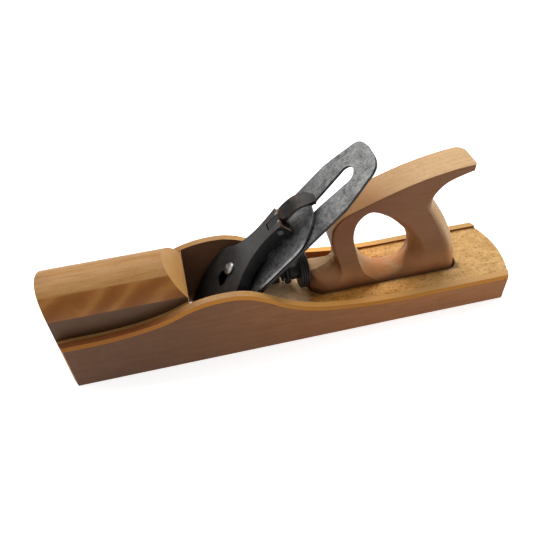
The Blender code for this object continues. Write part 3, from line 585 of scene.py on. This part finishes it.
def steel(name, low, high, rough_low, rough_high, patch_scale, metallic=1.0, rust=0.0, pits=0.25,
          regions=None):
    """Aged steel: cloudy patches, coarse and fine mottling, some rust and small pits."""
    shade = Shade(name)
    patch = shade.noise(shade.place, patch_scale, 4.0, 0.6)
    mottle = shade.noise(shade.place, 900.0, 5.0, 0.75)
    coarse = shade.noise(shade.place, 320.0, 4.0, 0.7)
    blend = shade.math("ADD", shade.times(patch, 0.35), shade.times(coarse, 0.3))
    blend = shade.math("ADD", blend, shade.times(mottle, 0.35))
    middle = tuple((a + b) / 2 for a, b in zip(low, high))
    colour = shade.ramp(blend, [(0.36, low), (0.5, middle), (0.62, high)])
    if rust > 0:
        brown = shade.noise(shade.place, 140.0, 5.0, 0.7)
        colour = shade.mix(shade.step(brown, 0.52, 0.66, 0.0, rust), colour, (0.16, 0.07, 0.03))
    if regions is not None:
        colour = regions(shade, colour)
    rough = shade.step(coarse, 0.3, 0.7, rough_low, rough_high)
    normal = shade.bump(mottle, pits, 0.00015)
    normal = shade.bump(coarse, pits * 0.6, 0.0003, normal)
    return shade.done(colour, rough, normal, metallic)


def along_bed(shade, x, z):
    """Part of a vector that points up the bed."""
    return shade.math("ADD", shade.times(x, math.cos(BED_ANGLE)), shade.times(z, math.sin(BED_ANGLE)))


def climb_step(shade, from_s, to_s):
    """Step between two distances up the bed, in mm from the cutting edge."""
    start = EDGE_X * MM * math.cos(BED_ANGLE)
    return shade.step(along_bed(shade, shade.x, shade.z), start + from_s * MM, start + to_s * MM)


def iron_regions(shade, colour):
    """Lower part of the iron is darker, its edges get painted shade, and light specks show bare metal."""
    # painted shade on the edges of the iron
    facing = shade.math("SUBTRACT", shade.times(shade.nz, math.cos(BED_ANGLE)),
                        shade.times(shade.nx, math.sin(BED_ANGLE)))
    edge = shade.times(shade.step(shade.absolute(facing), 0.75, 0.45), 0.92)
    speck = shade.noise(shade.place, 1500.0, 3.0, 0.75)
    colour = shade.mix(shade.step(speck, 0.56, 0.72, 0.0, 0.6), colour, (0.78, 0.78, 0.77))
    colour = shade.mix(shade.step(speck, 0.46, 0.34, 0.0, 0.6), colour, (0.03, 0.03, 0.03))
    colour = shade.mix(shade.step(shade.z, 0.132, 0.085), colour, (0.48, 0.48, 0.49), "MULTIPLY")
    return shade.mix(edge, colour, (0.022, 0.019, 0.018))


def cap_regions(shade, colour):
    """Rust on the cut end of the lever cap; bare metal and painted highlight on the corners by the lever.
    """
    # painted shade on the side flanges of the lever cap
    shaded_flange = shade.step(shade.absolute(shade.ny), 0.45, 0.85)
    colour = shade.mix(shaded_flange, colour, (0.18, 0.18, 0.18), "MULTIPLY")
    cut_end = shade.times(climb_step(shade, 117.5, 118.3),
                          shade.step(along_bed(shade, shade.nx, shade.nz), 0.4, 0.7), 0.85)
    colour = shade.mix(cut_end, colour, (0.34, 0.15, 0.05))
    # bare metal worn on the corners, with a painted highlight
    corner = shade.times(climb_step(shade, 116.0, 118.0),
                         shade.step(shade.absolute(shade.y), 0.0056, 0.0040), 0.55)
    return shade.mix(corner, colour, (0.75, 0.74, 0.72))


def lever_regions(shade, colour):
    """The neck of the lever keeps the black of the cap; the strap behind it is brown at its root."""
    stain = shade.noise(shade.place, 260.0, 5.0, 0.7)
    root = shade.times(climb_step(shade, 132.0, 119.0), shade.step(stain, 0.42, 0.58), 0.3)
    colour = shade.mix(root, colour, (0.12, 0.068, 0.04))
    return shade.mix(climb_step(shade, 119.0, 117.0), colour, (0.06, 0.057, 0.055))


# ---------------------------------------------------------------- materials

WOOD = beech("beech_stock", (0.52, 0.295, 0.108), (0.44, 0.225, 0.07), (0.26, 0.115, 0.035),
             (0, 0, 0), body_regions)
TOTE_WOOD = beech("beech_handle", (0.72, 0.47, 0.24), (0.62, 0.37, 0.165), (0.33, 0.155, 0.055),
                  (0, -18, 0), tote_regions)
IRON_STEEL = steel("iron_grey", (0.075, 0.075, 0.075), (0.62, 0.62, 0.61), 0.42, 0.62, 60.0, rust=0.2,
                   regions=iron_regions)
CAP_IRON_STEEL = steel("cap_iron_dark", (0.08, 0.08, 0.081), (0.40, 0.40, 0.40), 0.36, 0.5, 40.0, pits=0.15)
BLACK_STEEL = steel("lever_cap_black", (0.032, 0.031, 0.030), (0.09, 0.086, 0.083), 0.38, 0.55, 50.0,
                    metallic=0.7, rust=0.1, pits=0.12, regions=cap_regions)
LEVER_STEEL = steel("lever_dark", (0.020, 0.019, 0.018), (0.058, 0.054, 0.052), 0.36, 0.52, 70.0,
                    rust=0.35, pits=0.15, regions=lever_regions)
BRIGHT_STEEL = steel("screw_bright", (0.25, 0.24, 0.23), (0.5, 0.49, 0.47), 0.3, 0.45, 200.0, rust=0.2)
DARK_STEEL = steel("fitting_dark", (0.05, 0.05, 0.05), (0.12, 0.12, 0.118), 0.4, 0.55, 120.0, rust=0.3)
CAST_BLACK = steel("cast_black", (0.015, 0.015, 0.015), (0.045, 0.044, 0.042), 0.45, 0.65, 120.0,
                   metallic=0.4, rust=0.15, pits=0.3)


# ---------------------------------------------------------------- stock

def end_arc(sign):
    """Curved end of the stock in plan, at the heel for +1 and at the toe for -1."""
    half = WIDTH / 2
    radius = (half * half + END_RISE * END_RISE) / (2 * END_RISE)
    spread = math.degrees(math.asin(half / radius))
    centre = (sign * (LENGTH / 2 - radius), 0.0)
    middle = 0.0 if sign > 0 else 180.0
    return arc(centre, radius, middle - spread, middle + spread, 48)


def cheek_outline(drop, floor_z, low_x, high_x):
    """Side outline between the line of the rims, lowered by the drop, and a level line."""
    knots = [(x, z - drop, "smooth") for x, z in CHEEK_LINE if low_x < x < high_x]
    first = (low_x, CHEEK_LINE[0][1] - drop)
    last = (high_x, CHEEK_LINE[-1][1] - drop)
    return [(low_x, floor_z), first] + knots + [last, (high_x, floor_z)]


def tote_plan(side_gap, back_gap):
    """Outline of the handle's recess in the deck, round at both ends."""
    half = TOTE_THICK / 2 + side_gap * 0.6
    nose = TOTE_LOW[0] - side_gap
    back = TOTE_HIGH[0] + back_gap
    points = []
    for centre, reach, first in ((nose + TOTE_NOSE_ROUND, TOTE_NOSE_ROUND, 0.5),
                                 (back - TOTE_BACK_ROUND, TOTE_BACK_ROUND, -0.5)):
        for index in range(TOTE_PLAN_STEPS + 1):
            angle = math.pi * (first + index / TOTE_PLAN_STEPS)
            points.append((centre + reach * math.cos(angle), half * math.sin(angle)))
    return points


def make_stock():
    """Block with raised rims, then its nose, round ends, throat, mouth, groove and recess."""
    reach = LENGTH / 2 + 5
    beyond = reach + 5
    block_end = THROAT_FRONT_X - 0.5
    below_sole = -5.0
    block = cheek_outline(0.0, below_sole, -reach, reach)
    stock = prism("stock_wood", [block], -WIDTH / 2, WIDTH / 2, PLANE_SIDE, bevel=RIM_CHAMFER)
    front_line = cheek_outline(QUIRK_DEPTH, CLEAR_Z, -beyond, block_end)
    front_line[-2] = (block_end, NOSE_LINE_END_Z - QUIRK_DEPTH)
    carve(stock, front_line, -INNER, INNER, PLANE_SIDE)

    crown_rise = NOSE_TOP_Z - NOSE_WALL_Z
    crown_radius = (NOSE_HALF_WIDTH ** 2 + crown_rise ** 2) / (2 * crown_rise)
    spread = math.degrees(math.asin(NOSE_HALF_WIDTH / crown_radius))
    crown = arc((0.0, NOSE_TOP_Z - crown_radius), crown_radius, 90 + spread, 90 - spread, 48)
    section = [(NOSE_HALF_WIDTH, 35.0), (-NOSE_HALF_WIDTH, 35.0)] + crown
    nose = prism("nose", [section], -reach, THROAT_FRONT_X + 5, PLANE_FRONT)
    bevel_run = (NOSE_TOP_Z + 2 - NOSE_BEVEL_Z) / math.tan(NOSE_BEVEL)
    side = [(-beyond, 30.0), (block_end, 30.0), (block_end, NOSE_BEVEL_Z),
            (THROAT_FRONT_X - bevel_run, NOSE_TOP_Z + 2), (-beyond, NOSE_TOP_Z + 2)]
    carve(nose, side, -THROUGH, THROUGH, PLANE_SIDE, "INTERSECT")
    combine(stock, nose, "UNION")
    carve(stock, end_arc(1) + end_arc(-1), 0.0, CLEAR_Z, PLANE_TOP, "INTERSECT")

    bed_low = -(IRON_THICK + FIT)
    lean = (THROAT_FRONT_X - MOUTH_FRONT_X) / NOSE_BEVEL_Z

    def bed_x(z):
        return bed_point((z - bed_low * math.cos(BED_ANGLE)) / math.sin(BED_ANGLE), bed_low).x

    def throat_x(z):
        return MOUTH_FRONT_X + lean * z

    throat = [(throat_x(MOUTH_DEPTH), MOUTH_DEPTH), (bed_x(MOUTH_DEPTH), MOUTH_DEPTH),
              (bed_x(BED_BLOCK_Z), BED_BLOCK_Z), *BED_BLOCK_BACK, (beyond, DECK_Z), (beyond, CLEAR_Z),
              (throat_x(CLEAR_Z), CLEAR_Z)]
    carve(stock, throat, -INNER, INNER, PLANE_SIDE)
    below, over = -2.0, MOUTH_DEPTH + 1.0
    mouth = [(throat_x(below), below), (bed_x(below), below), (bed_x(over), over), (throat_x(over), over)]
    carve(stock, mouth, -MOUTH_HALF, MOUTH_HALF, PLANE_SIDE)
    groove_depth, groove_half, recess_z = 4.6, 9.0, 12.0
    groove = rectangle(20.0, 60.0, bed_low - groove_depth, 1.0)
    carve(stock, groove, -groove_half, groove_half, PLANE_BED_SIDE)
    carve(stock, tote_plan(0.9, 1.1), recess_z, DECK_Z + 20.0, PLANE_TOP)
    close_gaps(stock)
    dress(stock, WOOD, "stock", ("body",), soft=0.35, smooth=40.0)


# ---------------------------------------------------------------- handle

# Edge of the handle as (x, z) in the middle, (x, z) where the flat side begins, half width of
# the flat edge, and how straight the rounding between them is
TOTE_OUTLINE = [(14.9, 24.0, 28.5, 21.0, 0.3, 0.0), (14.9, 36.0, 30.5, 22.6, 2.2, 0.2),
                (15.2, 42.8, 31.4, 23.4, 5.8, 0.5), (16.6, 43.9, 32.0, 24.0, 6.3, 0.6),
                (21.5, 44.7, 34.0, 25.7, 5.4, 0.6), (26.8, 45.8, 36.0, 27.6, 4.2, 0.6),
                (31.0, 47.3, 37.8, 31.0, 2.8, 0.5), (34.2, 49.4, 38.6, 36.0, 1.8, 0.3),
                (35.0, 51.6, 38.6, 41.0, 2.5, 0.1), (34.8, 54.5, 37.6, 47.0, 5.0, 0.0),
                (33.8, 58.5, 36.0, 53.0, 8.0, 0.0), (32.3, 63.5, 33.6, 61.0, 9.5, 0.0),
                (30.4, 70.5, 31.4, 69.5, 9.8, 0.0), (29.8, 76.0, 30.9, 75.5, 9.7, 0.0),
                (30.2, 84.0, 31.5, 83.5, 9.7, 0.0), (36.5, 94.0, 37.2, 93.2, 11.0, 0.0),
                (51.6, 101.2, 51.9, 100.6, 11.6, 0.0), (68.0, 107.6, 68.2, 107.0, 11.6, 0.0),
                (86.5, 113.9, 86.7, 113.3, 11.6, 0.0), (103.0, 118.0, 103.1, 117.4, 11.6, 0.0),
                (119.0, 120.7, 119.0, 120.0, 11.5, 0.0), (131.4, 121.8, 130.8, 120.9, 11.2, 0.0),
                (131.6, 116.4, 130.8, 117.0, 11.2, 0.0), (122.5, 113.8, 122.2, 114.6, 11.2, 0.0),
                (112.0, 108.8, 111.0, 110.0, 10.4, 0.0), (105.6, 100.5, 103.3, 101.0, 8.0, 0.0),
                (107.6, 91.4, 99.5, 92.1, 3.2, 0.0), (113.0, 83.5, 104.6, 82.5, 0.2, 0.0),
                (120.5, 71.3, 112.0, 69.0, 0.2, 0.0), (126.5, 59.7, 117.0, 57.0, 0.2, 0.0),
                (132.0, 46.5, 122.0, 44.0, 0.2, 0.0), (137.6, 22.0, 129.1, 22.0, 0.2, 0.0)]
TOTE_HOLE = [(57.0, 94.2, 57.0, 95.6, 9.7, 0.0), (48.9, 88.0, 47.8, 88.6, 10.4, 0.0),
             (46.2, 75.0, 45.3, 75.0, 10.7, 0.0), (49.3, 61.0, 48.3, 61.5, 10.0, 0.0),
             (55.6, 47.5, 52.6, 46.5, 4.7, 0.0), (65.0, 35.8, 59.0, 33.3, 0.8, 0.0),
             (77.0, 31.2, 73.0, 23.3, 0.2, 0.0), (90.0, 35.0, 99.6, 25.2, 0.2, 0.0),
             (95.4, 47.0, 105.5, 42.0, 0.2, 0.0), (91.9, 62.0, 101.0, 57.0, 2.8, 0.0),
             (81.5, 76.5, 91.0, 73.0, 6.2, 0.0), (69.5, 88.3, 75.0, 87.5, 8.7, 0.0)]
ROUND_ANGLE = math.radians(66.0)
ROUND_STEPS = 9
FLAT_SIDE = 0.9999
HORN_END_X = 131.6


def spline_loop(knots, steps, corners=()):
    """Dense closed loop through the knots, with no rounding at the corners given by index."""
    count = len(knots)
    loop = []
    for index in range(count):
        p0, p1, p2, p3 = (knots[(index + shift) % count] for shift in (-1, 0, 1, 2))
        chord = math.dist(p1[:2], p2[:2])
        before = max(math.dist(p0[:2], p1[:2]), 1e-6)
        after = max(math.dist(p2[:2], p3[:2]), 1e-6)
        for step in range(steps):
            u = step / steps
            # Hermite weights of the two knots and of the tangents at them
            h00, h10 = 2 * u ** 3 - 3 * u ** 2 + 1, u ** 3 - 2 * u ** 2 + u
            h01, h11 = -2 * u ** 3 + 3 * u ** 2, u ** 3 - u ** 2
            values = []
            for axis in range(len(p1)):
                straight = p2[axis] - p1[axis]
                lead = straight if index in corners else chord * (
                    (p1[axis] - p0[axis]) / before + (p2[axis] - p1[axis]) / chord) / 2
                tail = straight if (index + 1) % count in corners else chord * (
                    (p2[axis] - p1[axis]) / chord + (p3[axis] - p2[axis]) / after) / 2
                values.append(h00 * p1[axis] + h10 * lead + h01 * p2[axis] + h11 * tail)
            loop.append(values)
    return loop


def make_tote():
    """Handle with flat sides, whose edges round over by a different amount along the outline."""
    half = TOTE_THICK / 2
    low = TOTE_LOW[2]
    outline = [(14.9, low, 27.5, low, 0.3, 0.0)] + TOTE_OUTLINE + [(137.6, low, 129.1, low, 0.2, 0.0)]
    corners = (0, 1, 8, 22, 23, len(outline) - 2, len(outline) - 1)
    work = bmesh.new()
    inside_edges = {-1: [], 1: []}
    for loop in (spline_loop(outline, 9, corners), spline_loop(TOTE_HOLE, 12)):
        rings = []
        for sign, order in ((-1, range(ROUND_STEPS, -1, -1)), (1, range(ROUND_STEPS + 1))):
            for step in order:
                angle = ROUND_ANGLE * step / ROUND_STEPS
                outward = math.sin(angle) / math.sin(ROUND_ANGLE)
                curved = (1 - math.cos(angle)) / (1 - math.cos(ROUND_ANGLE))
                ring = []
                for x, z, face_x, face_z, flat, straight in loop:
                    inward = curved + (outward - curved) * straight
                    flat = min(max(flat, 0.1), half - 0.4)
                    place = (x + (face_x - x) * inward, sign * (flat + (half - flat) * outward),
                             z + (face_z - z) * inward)
                    ring.append(work.verts.new(Vector(place) * MM))
                rings.append(ring)
        skin(work, rings)
        for sign, ring in ((-1, rings[0]), (1, rings[-1])):
            for index in range(len(ring)):
                inside_edges[sign].append(work.edges.get((ring[index], ring[(index + 1) % len(ring)])))
    for edges in inside_edges.values():
        bmesh.ops.triangle_fill(work, use_beauty=True, use_dissolve=False, edges=edges)
    tote = placed_piece("handle_wood", work, Matrix.Identity(4))
    # the horn's end is round in plan, more so on the far side
    past_x, past_y = 145.0, 20.0
    for side, radius in ((1, 8.0), (-1, 2.5)):
        start = HORN_END_X - radius
        edge = [(x, side * y) for x, y in arc((start, half - radius), radius, 90, 0, 12)]
        corner = edge + [(past_x, side * (half - radius)), (past_x, side * past_y), (start, side * past_y)]
        carve(tote, corner, 105.0, 140.0, PLANE_TOP)
    dress(tote, TOTE_WOOD, "stock", ("tote",), soft=0.35, segments=3, smooth=13.0)
    for face in tote.data.polygons:
        face.use_smooth = abs(face.normal.y) < FLAT_SIDE


# ---------------------------------------------------------------- irons and lever cap

def slot_outline(low_s, high_s, half, wide_half=0.0, wide_s=0.0):
    """Slot with round ends, which may widen from wide_s towards its upper end."""
    end_half = wide_half or half
    bottom = arc((low_s + half, 0.0), half, 90, 270, 16)
    top = arc((high_s - end_half, 0.0), end_half, -90, 90, 16)
    if wide_half:
        return bottom + [(wide_s, -half)] + top + [(wide_s, half)]
    return bottom + top


def make_iron():
    """Cutting iron with a rounded top, a slot and a ground bevel."""
    half = IRON_WIDTH / 2
    upper = [(158.0, half), (168.0, 23.2, "smooth"), (180.0, 19.8, "smooth"), (187.5, 17.6, "smooth"),
             (191.4, 13.6, "smooth"), (IRON_TIP_S, 0.0, "smooth")]
    outline = [(0.0, -half), (0.0, half)] + upper + mirrored(upper[:-1])
    slot = slot_outline(26.0, 177.0, 4.3, 6.9, 142.0)
    iron = prism("cutting_iron", [outline, slot], -IRON_THICK, 0.0, PLANE_BED)
    bevel = [(-5.0, -5.0), (6.0, -5.0), (5.8, -IRON_THICK - 0.1), (0.6, 0.0), (-5.0, 3.0)]
    carve(iron, bevel, -THROUGH, THROUGH, PLANE_BED_SIDE)
    dress(iron, IRON_STEEL, "iron_set", ("iron",), soft=0.3)


def make_cap_iron():
    """Cap iron with an arched top, a bent front edge and slots for the screw and the yoke."""
    half = IRON_WIDTH / 2
    rise = CAP_IRON_APEX_S - CAP_IRON_ARCH_S
    angles = [math.radians(a) for a in range(0, 181, 4)]
    arch = [(CAP_IRON_ARCH_S + rise * math.sin(a), half * math.cos(a)) for a in angles]
    outline = [(0.0, -half), (0.0, half)] + arch
    yoke_slot = rectangle(YOKE_TIP_S - 2.3, YOKE_TIP_S + 2.3, -4.2, 4.2)
    screw_slot = slot_outline(46.0, 78.0, 4.2)
    plate = prism("cap_iron_plate", [outline, screw_slot, yoke_slot], -3.0, 10.0, PLANE_BED)
    side = [(2.0, 0.3), (4.5, 0.35), (9.0, 0.9), (150.0, 0.9), (150.0, 3.0), (12.0, 3.0), (8.0, 2.8),
            (4.5, 1.9)]
    carve(plate, side, -THROUGH, THROUGH, PLANE_BED_SIDE, "INTERSECT")
    dress(plate, CAP_IRON_STEEL, "iron_set", ("cap_iron",), soft=0.35, segments=3)


# Lever cap: half widths where it narrows, and its face, both by distance up the bed
LEVER_CAP_HALVES = [(60.0, 24.6), (66.0, 21.3), (75.0, 14.9), (84.0, 11.3), (93.0, 9.2), (103.0, 8.5),
                    (112.0, 9.1)]
LEVER_CAP_FACE = [(19.0, 6.9), (29.0, 10.4), (39.0, 12.4), (48.0, 13.6), (60.0, 14.4), (75.0, 15.2),
                  (98.0, 16.3)]


def lever_cap_outline(inset):
    """Plan of the lever cap, drawn in by the inset for its hollow."""
    knots = [(s, half - inset, "smooth") for s, half in LEVER_CAP_HALVES]
    low = 11.0 + inset * 1.2
    corner_half = 24.9 - inset
    right = [(low, corner_half - 3.0), (low + 3.0, corner_half), (55.0, corner_half)] + knots
    right.append((LEVER_CAP_TOP_S + inset * 3, 9.9 - inset))
    return right + mirrored(right)


def lever_cap_side(drop, low_t):
    """Side outline under the face, with the heights of its lower edge at the front, middle and back."""
    face = [(s, t - drop, "smooth") for s, t in LEVER_CAP_FACE]
    front, middle, back = low_t
    edge = [(130.0, back), (74.0, back), (60.0, middle), (15.0, middle), (5.0, front)]
    return [(5.0, 4.2 - drop), (10.0, 4.2 - drop)] + face + [(130.0, 16.7 - drop)] + edge


def make_lever_cap():
    """Sheet shell of the lever cap with its keyhole, lever notch and pin hole."""
    over = 25.0
    cap = prism("lever_cap_shell", [lever_cap_outline(0.0)], 0.0, over, PLANE_BED)
    carve(cap, lever_cap_side(0.0, (3.4, 3.5, 5.8)), -THROUGH, THROUGH, PLANE_BED_SIDE, "INTERSECT")
    hollow = prism("hollow", [lever_cap_outline(1.5)], -5.0, over, PLANE_BED)
    inside = lever_cap_side(LEVER_CAP_THICK, (-3.0, -3.0, -3.0))
    carve(hollow, inside, -THROUGH, THROUGH, PLANE_BED_SIDE, "INTERSECT")
    combine(cap, hollow, "DIFFERENCE")
    # small lip on each side of the lever's notch
    for y in (-5.7, 5.7):
        carve(cap, rectangle(116.4, 118.4, y - 2.2, y + 2.2), 14.1, 15.9, PLANE_BED, "UNION")
    wide_s, wide, narrow = CAP_SCREW_S - 10.1, 6.0, 3.3
    neck = math.degrees(math.asin(narrow / wide))
    keyhole = arc((wide_s, 0.0), wide, neck, 360 - neck, 40)
    keyhole += arc((CAP_SCREW_S, 0.0), narrow, -90, 90, 16)
    carve(cap, keyhole, 8.0, over, PLANE_BED)
    carve(cap, rectangle(106.9, 125.0, -3.4, 3.4), 10.0, over, PLANE_BED)
    pin_hole = [(0.0, CAM_PIN_BORE), (40.0, CAM_PIN_BORE)]
    combine(cap, turned("cut", pin_hole, bed_point(*CAM_PIN, -20.0), (0, 1, 0), 24), "DIFFERENCE")
    dress(cap, BLACK_STEEL, "cap_set", ("lever_cap",), soft=0.45, segments=3)


def make_cam_lever():
    """Lever with its knuckle and cam lobe in side view, trimmed to its plan."""
    s, t = CAM_PIN
    knuckle = arc((s, t), 4.0, 200, 160, 4) + [(s - 5.2, t + 2.6), (s - 5.8, t + 3.0)]
    strap_top = [(108.0, 16.4), (119.0, 16.5), (124.0, 16.3, "smooth"), (128.5, 15.9, "smooth"),
                 (132.5, 15.2, "smooth"), (136.5, 13.7, "smooth"), (140.5, 11.2, "smooth"),
                 (143.5, 8.0, "smooth"), (145.3, 4.8)]
    strap_low = [(143.5, 4.2), (141.3, 8.0, "smooth"), (138.0, 10.9, "smooth"), (134.2, 12.7, "smooth"),
                 (130.2, 13.3, "smooth"), (125.5, 13.3, "smooth"), (121.0, 12.4)]
    lobe = [(120.6, 8.6), (118.2, 5.2), (115.4, 4.5), (112.0, 5.6)]
    outline = knuckle + strap_top + strap_low + lobe
    eye = arc((s, t), CAM_PIN_BORE, 0, 345, 23)
    lever = prism("cam_lever_strap", [outline, eye], -6.9, 6.9, PLANE_BED_SIDE)
    right = [(100.0, 2.95), (120.3, 2.95), (120.6, 4.6), (122.6, 6.2, "smooth"), (126.0, 7.1, "smooth"),
             (139.0, 7.4, "smooth"), (143.2, 5.6, "smooth"), (145.6, 2.4, "smooth"), (146.4, 0.0, "smooth")]
    carve(lever, right + mirrored(right[:-1]), -5.0, 25.0, PLANE_BED, "INTERSECT")
    dress(lever, LEVER_STEEL, "lever", ("cam_lever",), soft=0.35, segments=3)


def make_lever_cap_screw():
    """Screw with a domed and slotted head that stands just clear of the cap's face."""
    cap_face, clearance = 14.4, 0.75
    low = cap_face + clearance
    shank, head, rise = 2.9, 5.0, 1.65
    angles = [math.radians(a) for a in range(0, 85, 7)]
    dome = [(low + 0.6 + rise * math.sin(a), head * math.cos(a)) for a in angles]
    profile = [(-7.9, shank), (low, shank), (low, head)] + dome + [(low + 0.6 + rise, 0.3)]
    screw = turned("lever_cap_screw_head", profile, bed_point(CAP_SCREW_S, 0.0), BED_T)
    slot = rectangle(CAP_SCREW_S - 0.55, CAP_SCREW_S + 0.55, -6.0, 6.0)
    carve(screw, slot, low + 1.0, low + 5.0, PLANE_BED)
    dress(screw, BRIGHT_STEEL, "stock", ("lever_cap_screw",), soft=0.12, smooth=40.0)


def make_depth_wheel():
    """Ribbed wheel with rounded ridges and a grooved hub."""
    rim, hub, groove = WHEEL_RADIUS, 6.3, 4.7
    groove_start, groove_end, front = -5.0, 0.0, 6.8
    profile = [(WHEEL_LOW[0], hub - 0.3), (WHEEL_LOW[0] + 0.4, hub), (groove_start, hub),
               (groove_start, groove), (groove_end, groove), (groove_end, hub), (front, hub),
               (front, rim - 0.8)]
    ridges, ridge_height = 4, 1.3
    step = (WHEEL_HIGH[0] - front) / ridges
    for index in range(ridges):
        for part in range(9):
            angle = math.pi * part / 8
            profile.append((front + step * (index + 0.5 - 0.44 * math.cos(angle)),
                            rim - ridge_height + ridge_height * math.sin(angle)))
    profile += [(WHEEL_HIGH[0], rim - 1.6), (WHEEL_HIGH[0], 8.0), (WHEEL_HIGH[0] - 1.2, 7.0)]
    wheel = turned("ribbed_wheel", profile, (0.0, 0.0, WHEEL_Z), (1, 0, 0), 72)
    bore = turned("cut", [(-10.0, 3.2), (30.0, 3.2)], (0.0, 0.0, WHEEL_Z), (1, 0, 0), 32)
    combine(wheel, bore, "DIFFERENCE")
    dress(wheel, CAST_BLACK, "wheel", ("depth_wheel",), smooth=40.0)


def repaint(node, material, soft=0.0):
    """A CAD node whose shape is right keeps it and gets a finished material."""
    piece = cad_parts[node]
    piece.data.materials.clear()
    piece.data.materials.append(material)
    if soft > 0:
        soften(piece, soft, angle=40.0)


# ---------------------------------------------------------------- stage

# Metres, and strengths matched to the picture's white ground
FLOOR_HALF = 6.0
FLOOR_GAP = 0.0002
FLOOR_GLOW = 0.68
WORLD_GLOW = 0.27
WHITE = (1.0, 1.0, 1.0)
LIGHT_TARGET = (0.0, 0.0, 0.05)

# Camera solved from the corners of the stock in the picture
LENS = 37.79
CAMERA_PLACE = (-0.071584, -0.297712, 0.349721)
CAMERA_RIGHT = Vector((0.973402, -0.225836, -0.038555))
CAMERA_DOWN = Vector((-0.186573, -0.683726, -0.705485))
CAMERA_AHEAD = Vector((0.132963, 0.693914, -0.707676))


def make_stage():
    """White floor that glows enough to meet the white world."""
    shade = Shade("studio_floor")
    tone = shade.noise(shade.place, 3.0, 2.0, 0.5)
    colour = shade.ramp(tone, [(0.3, (0.88, 0.88, 0.88)), (0.7, (0.92, 0.92, 0.92))])
    material = shade.done(colour, 0.9, specular=0.1)
    shade.shader.inputs["Emission Color"].default_value = (*WHITE, 1.0)
    shade.shader.inputs["Emission Strength"].default_value = FLOOR_GLOW
    mesh = bpy.data.meshes.new("floor")
    corners = [(u, v, -FLOOR_GAP) for u, v in rectangle(-FLOOR_HALF, FLOOR_HALF, -FLOOR_HALF, FLOOR_HALF)]
    mesh.from_pydata(corners, [], [(0, 1, 2, 3)])
    floor = link_piece("floor", mesh)
    floor.data.materials.append(material)


def area_light(name, place, size, power):
    light = bpy.data.lights.new(name, "AREA")
    light.shape = "RECTANGLE"
    light.size, light.size_y = size
    light.energy = power
    lamp = bpy.data.objects.new(name, light)
    lamp.location = place
    direction = Vector(LIGHT_TARGET) - Vector(place)
    lamp.rotation_euler = direction.to_track_quat("-Z", "Y").to_euler()
    bpy.context.scene.collection.objects.link(lamp)


def make_lights():
    area_light("key_above_behind", (0.05, 0.75, 1.15), (1.6, 1.0), 17.5)
    area_light("soft_left", (-1.1, 0.1, 0.8), (1.0, 1.0), 4.8)
    area_light("soft_right", (1.1, 0.2, 0.8), (1.0, 1.0), 3.6)
    world = bpy.data.worlds.new("studio")
    world.use_nodes = True
    background = world.node_tree.nodes["Background"]
    background.inputs["Color"].default_value = (*WHITE, 1.0)
    background.inputs["Strength"].default_value = WORLD_GLOW
    bpy.context.scene.world = world


def make_camera():
    camera = bpy.data.cameras.new("camera")
    camera.sensor_fit = "HORIZONTAL"
    camera.sensor_width = 36.0
    camera.lens = LENS
    camera.clip_start = 0.01
    viewer = bpy.data.objects.new("camera", camera)
    turn = Matrix((CAMERA_RIGHT, -CAMERA_DOWN, -CAMERA_AHEAD)).transposed().to_4x4()
    viewer.matrix_world = Matrix.Translation(CAMERA_PLACE) @ turn
    bpy.context.scene.collection.objects.link(viewer)
    bpy.context.scene.camera = viewer


# ---------------------------------------------------------------- build

make_stage()
make_lights()
make_camera()
bpy.context.scene.view_settings.view_transform = "Standard"

make_stock()
make_tote()
make_iron()
make_cap_iron()
make_lever_cap()
make_cam_lever()
make_lever_cap_screw()
make_depth_wheel()
for fitting in ("cap_iron_screw", "cam_pin", "frog_screw_1", "frog_screw_2", "frog_screw_3",
                "frog_washer_1", "frog_washer_2", "yoke_pin", "depth_stud"):
    repaint(fitting, DARK_STEEL)
repaint("cap_spring", IRON_STEEL)
repaint("frog", CAST_BLACK, 0.4)
repaint("yoke", CAST_BLACK, 0.3)
